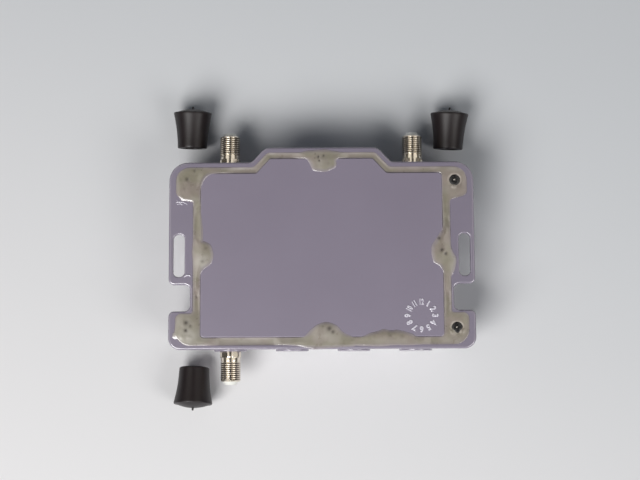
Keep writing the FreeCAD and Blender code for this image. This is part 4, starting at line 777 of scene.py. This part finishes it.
def makeCaps():
    # Each cap lies on the edge of its mouth and on its lip: tilt = atan((lip - mouth) / (length - edge))
    tilt = math.atan2(cap["lip"] - cap["mouth"], cap["length"] - cap["edge"])
    lift = cap["mouth"] * math.cos(tilt) - cap["edge"] * math.sin(tilt)
    profile = capProfile()
    for seed, (name, (x, y, heading)) in enumerate(cap["places"].items()):
        def uneven(radius, height, turn):
            # moulded rubber is never quite round
            mouthWave = 0.011 * (1 + np.sin(3 * turn + 1.7 * seed)) * np.exp(-height / 1.6)
            flareWave = 0.004 * (1 + np.sin(2 * turn + seed)) * np.clip(height / 16, 0, 1)
            return radius * (1 - flareWave - mouthWave)
        points, quads, triangles = spun(profile, cap["segments"], radiusAt=uneven)
        place = (Matrix.Translation((x, y, lift)) @ Matrix.Rotation(math.radians(heading), 4, "Z")
                 @ Matrix.Rotation(tilt - math.pi / 2, 4, "X"))
        piece = meshPiece(f"{name}_weather_cap", moved(points, place), quads, triangles,
                          finishes["cap_rubber"], sharp=50)
        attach(piece, "root")
        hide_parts(f"{name}_port_cap")


makeCaps()

# Moulded ring of numbers on the back plate; wide and narrow squeeze one and two figures
dial = {"x": 45.1, "y": -31.4, "radius": 5.0, "size": 3.7, "thick": 0.30, "bevel": 0.11, "offset": 0.09,
        "floor": 28.22, "count": 12, "wide": 0.9, "narrow": 0.62}


def numberMesh(number):
    # One number, standing upright at the top of the ring and then turned round to its place
    words = bpy.data.curves.new(f"number_{number}", "FONT")
    words.body = str(number)
    words.size = dial["size"] * mm
    words.align_x = "CENTER"
    words.extrude = dial["thick"] / 2 * mm
    words.bevel_depth = dial["bevel"] * mm
    words.offset = dial["offset"] * mm
    words.bevel_resolution = 1
    words.resolution_u = 4
    holder = bpy.data.objects.new(f"number_{number}", words)
    scene.collection.objects.link(holder)
    mesh = bpy.data.meshes.new_from_object(holder.evaluated_get(bpy.context.evaluated_depsgraph_get()))
    bpy.data.objects.remove(holder)
    squeeze = dial["narrow"] if number > 9 else dial["wide"]
    mesh.transform(Matrix.Translation((dial["x"] * mm, dial["y"] * mm, dial["floor"] * mm))
                   @ Matrix.Rotation(-2 * math.pi * number / dial["count"], 4, "Z")
                   @ Matrix.Translation((0, dial["radius"] * mm, 0)) @ Matrix.Diagonal((squeeze, 1, 1, 1)))
    return mesh


def makeDial():
    points, faces, shift = [], [], 0
    for mesh in map(numberMesh, range(1, dial["count"] + 1)):
        flat = np.zeros(len(mesh.vertices) * 3)
        mesh.vertices.foreach_get("co", flat)
        points.append(flat.reshape(-1, 3))
        faces += [[index + shift for index in face.vertices] for face in mesh.polygons]
        shift += len(mesh.vertices)
    ring = bpy.data.meshes.new("number_ring")
    ring.from_pydata(np.vstack(points).tolist(), [], faces)
    # The light raised paint is a painted highlight on the numbers
    ring.materials.append(finishes["raised_paint"])
    piece = bpy.data.objects.new("number_ring", ring)
    scene.collection.objects.link(piece)
    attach(piece, "root")
    print("piece: number_ring", len(ring.polygons), "faces")


makeDial()

# Floor, lamps, surroundings and camera, all in metres
studio = {
    # Floor colours: the far one greyer, painted shade of the lamps' falloff
    "floorHalf": 1.3, "floorLitNear": (0.80, 0.785, 0.78), "floorShadedFar": (0.735, 0.745, 0.755),
    "left": {"place": (-0.45, -0.62, 0.82), "size": (0.72, 0.62), "power": 11.5},
    "right": {"place": (0.72, -0.58, 0.76), "size": (0.60, 0.55), "power": 3.9},
    "backdrop": (0.66, 0.67, 0.68), "ambient": (0.066, 0.076, 0.090),
    "mirrorLow": (0.10, 0.095, 0.085), "mirrorHigh": (0.055, 0.050, 0.045), "band": (0.95, 0.91, 0.84),
    # X / Z from -2 to 2 as a share from 0 to 1, and how much of the band shows there
    "bandStops": [(0.16, 0.0), (0.22, 1.0), (0.425, 1.0), (0.470, 0.0), (0.545, 0.0), (0.590, 0.95),
                  (0.86, 0.95), (0.97, 0.0)],
    "lens": 72.04, "sensor": 36, "eye": (-0.002324, -0.063585, 0.60987),
    "eyeTurn": (0.1145, -0.0026, -0.0054),
}


def makeFloor():
    # Pale paper with painted shade: greyer towards the far right, away from the lamps
    half = studio["floorHalf"]
    mesh = bpy.data.meshes.new("floor")
    corners = [(-half, -half, 0), (half, -half, 0), (half, half, 0), (-half, half, 0)]
    mesh.from_pydata(corners, [], [(0, 1, 2, 3)])
    material = bpy.data.materials.new("paperFloor")
    material.use_nodes = True
    tree = material.node_tree
    shader = tree.nodes["Principled BSDF"]
    place = addNode(tree, "ShaderNodeSeparateXYZ", {"Vector": objectPlace(tree)}).outputs
    slope = arithmetic(tree, "ADD", place["Y"], arithmetic(tree, "MULTIPLY", place["X"], 0.45))
    colour = blend(tree, smoothShare(tree, slope, -0.16, 0.16), studio["floorLitNear"], studio["floorShadedFar"])
    tree.links.new(colour, shader.inputs["Base Color"])
    shader.inputs["Roughness"].default_value = 0.85
    shader.inputs["Specular IOR Level"].default_value = 0.2
    mesh.materials.append(material)
    floor = bpy.data.objects.new("floor", mesh)
    scene.collection.objects.link(floor)


def makeLamp(name, place, size, power, target=(0, 0, 0.01)):
    lamp = bpy.data.lights.new(name, "AREA")
    lamp.shape = "RECTANGLE"
    lamp.size, lamp.size_y = size
    lamp.energy = power
    holder = bpy.data.objects.new(name, lamp)
    aim = Vector(target) - Vector(place)
    holder.matrix_world = Matrix.Translation(place) @ aim.to_track_quat("-Z", "Y").to_matrix().to_4x4()
    scene.collection.objects.link(holder)


def makeWorld():
    # The camera sees a plain backdrop and diffuse light comes from the ambient. Gloss sees a dark room,
    # darker overhead, with two long diffusers, each over a range of X / Z, the right one a little weaker
    world = bpy.data.worlds.new("studio")
    world.use_nodes = True
    scene.world = world
    tree = world.node_tree
    tree.nodes.clear()
    path = tree.nodes.new("ShaderNodeLightPath").outputs
    outlook = tree.nodes.new("ShaderNodeTexCoord").outputs["Generated"]
    direction = addNode(tree, "ShaderNodeSeparateXYZ", {"Vector": outlook}).outputs
    upward = smoothShare(tree, direction["Z"], 0.15, 0.75)
    room = blend(tree, upward, studio["mirrorLow"], studio["mirrorHigh"])
    lean = arithmetic(tree, "DIVIDE", direction["X"], direction["Z"])
    spreadInputs = {"Value": lean, "From Min": -2.0, "From Max": 2.0}
    spread = addNode(tree, "ShaderNodeMapRange", spreadInputs).outputs[0]
    bands = addNode(tree, "ShaderNodeValToRGB", {"Fac": spread})
    stops = bands.color_ramp.elements
    stops[0].position, stops[1].position = studio["bandStops"][0][0], studio["bandStops"][-1][0]
    for position, _ in studio["bandStops"][1:-1]:
        stops.new(position)
    for stop, (_, share) in zip(stops, studio["bandStops"]):
        stop.color = (share, share, share, 1)
    overhead = smoothShare(tree, direction["Z"], 0.25, 0.45)
    bandShare = arithmetic(tree, "MULTIPLY", bands.outputs[0], overhead)
    reflected = blend(tree, bandShare, room, studio["band"])
    seen, ambient = [addNode(tree, "ShaderNodeBackground", {"Color": (*studio[key], 1)}).outputs[0]
                     for key in ("backdrop", "ambient")]
    mirror = addNode(tree, "ShaderNodeBackground", {"Color": reflected}).outputs[0]
    lit = addNode(tree, "ShaderNodeMixShader", {0: path["Is Glossy Ray"], 1: ambient, 2: mirror}).outputs[0]
    shown = addNode(tree, "ShaderNodeMixShader", {0: path["Is Camera Ray"], 1: lit, 2: seen}).outputs[0]
    tree.links.new(shown, tree.nodes.new("ShaderNodeOutputWorld").inputs["Surface"])


def makeCamera():
    lens = bpy.data.cameras.new("camera")
    lens.sensor_width = studio["sensor"]
    lens.lens = studio["lens"]
    holder = bpy.data.objects.new("camera", lens)
    turns = [Matrix.Rotation(turn, 4, axis) for turn, axis in zip(studio["eyeTurn"], "XYZ")]
    holder.matrix_world = Matrix.Translation(studio["eye"]) @ turns[0] @ turns[1] @ turns[2]
    scene.collection.objects.link(holder)
    scene.camera = holder


makeFloor()
makeLamp("softboxLeft", **studio["left"])
makeLamp("softboxRight", **studio["right"])
makeWorld()
makeCamera()
scene.view_settings.view_transform = "Standard"
print("studio ready")
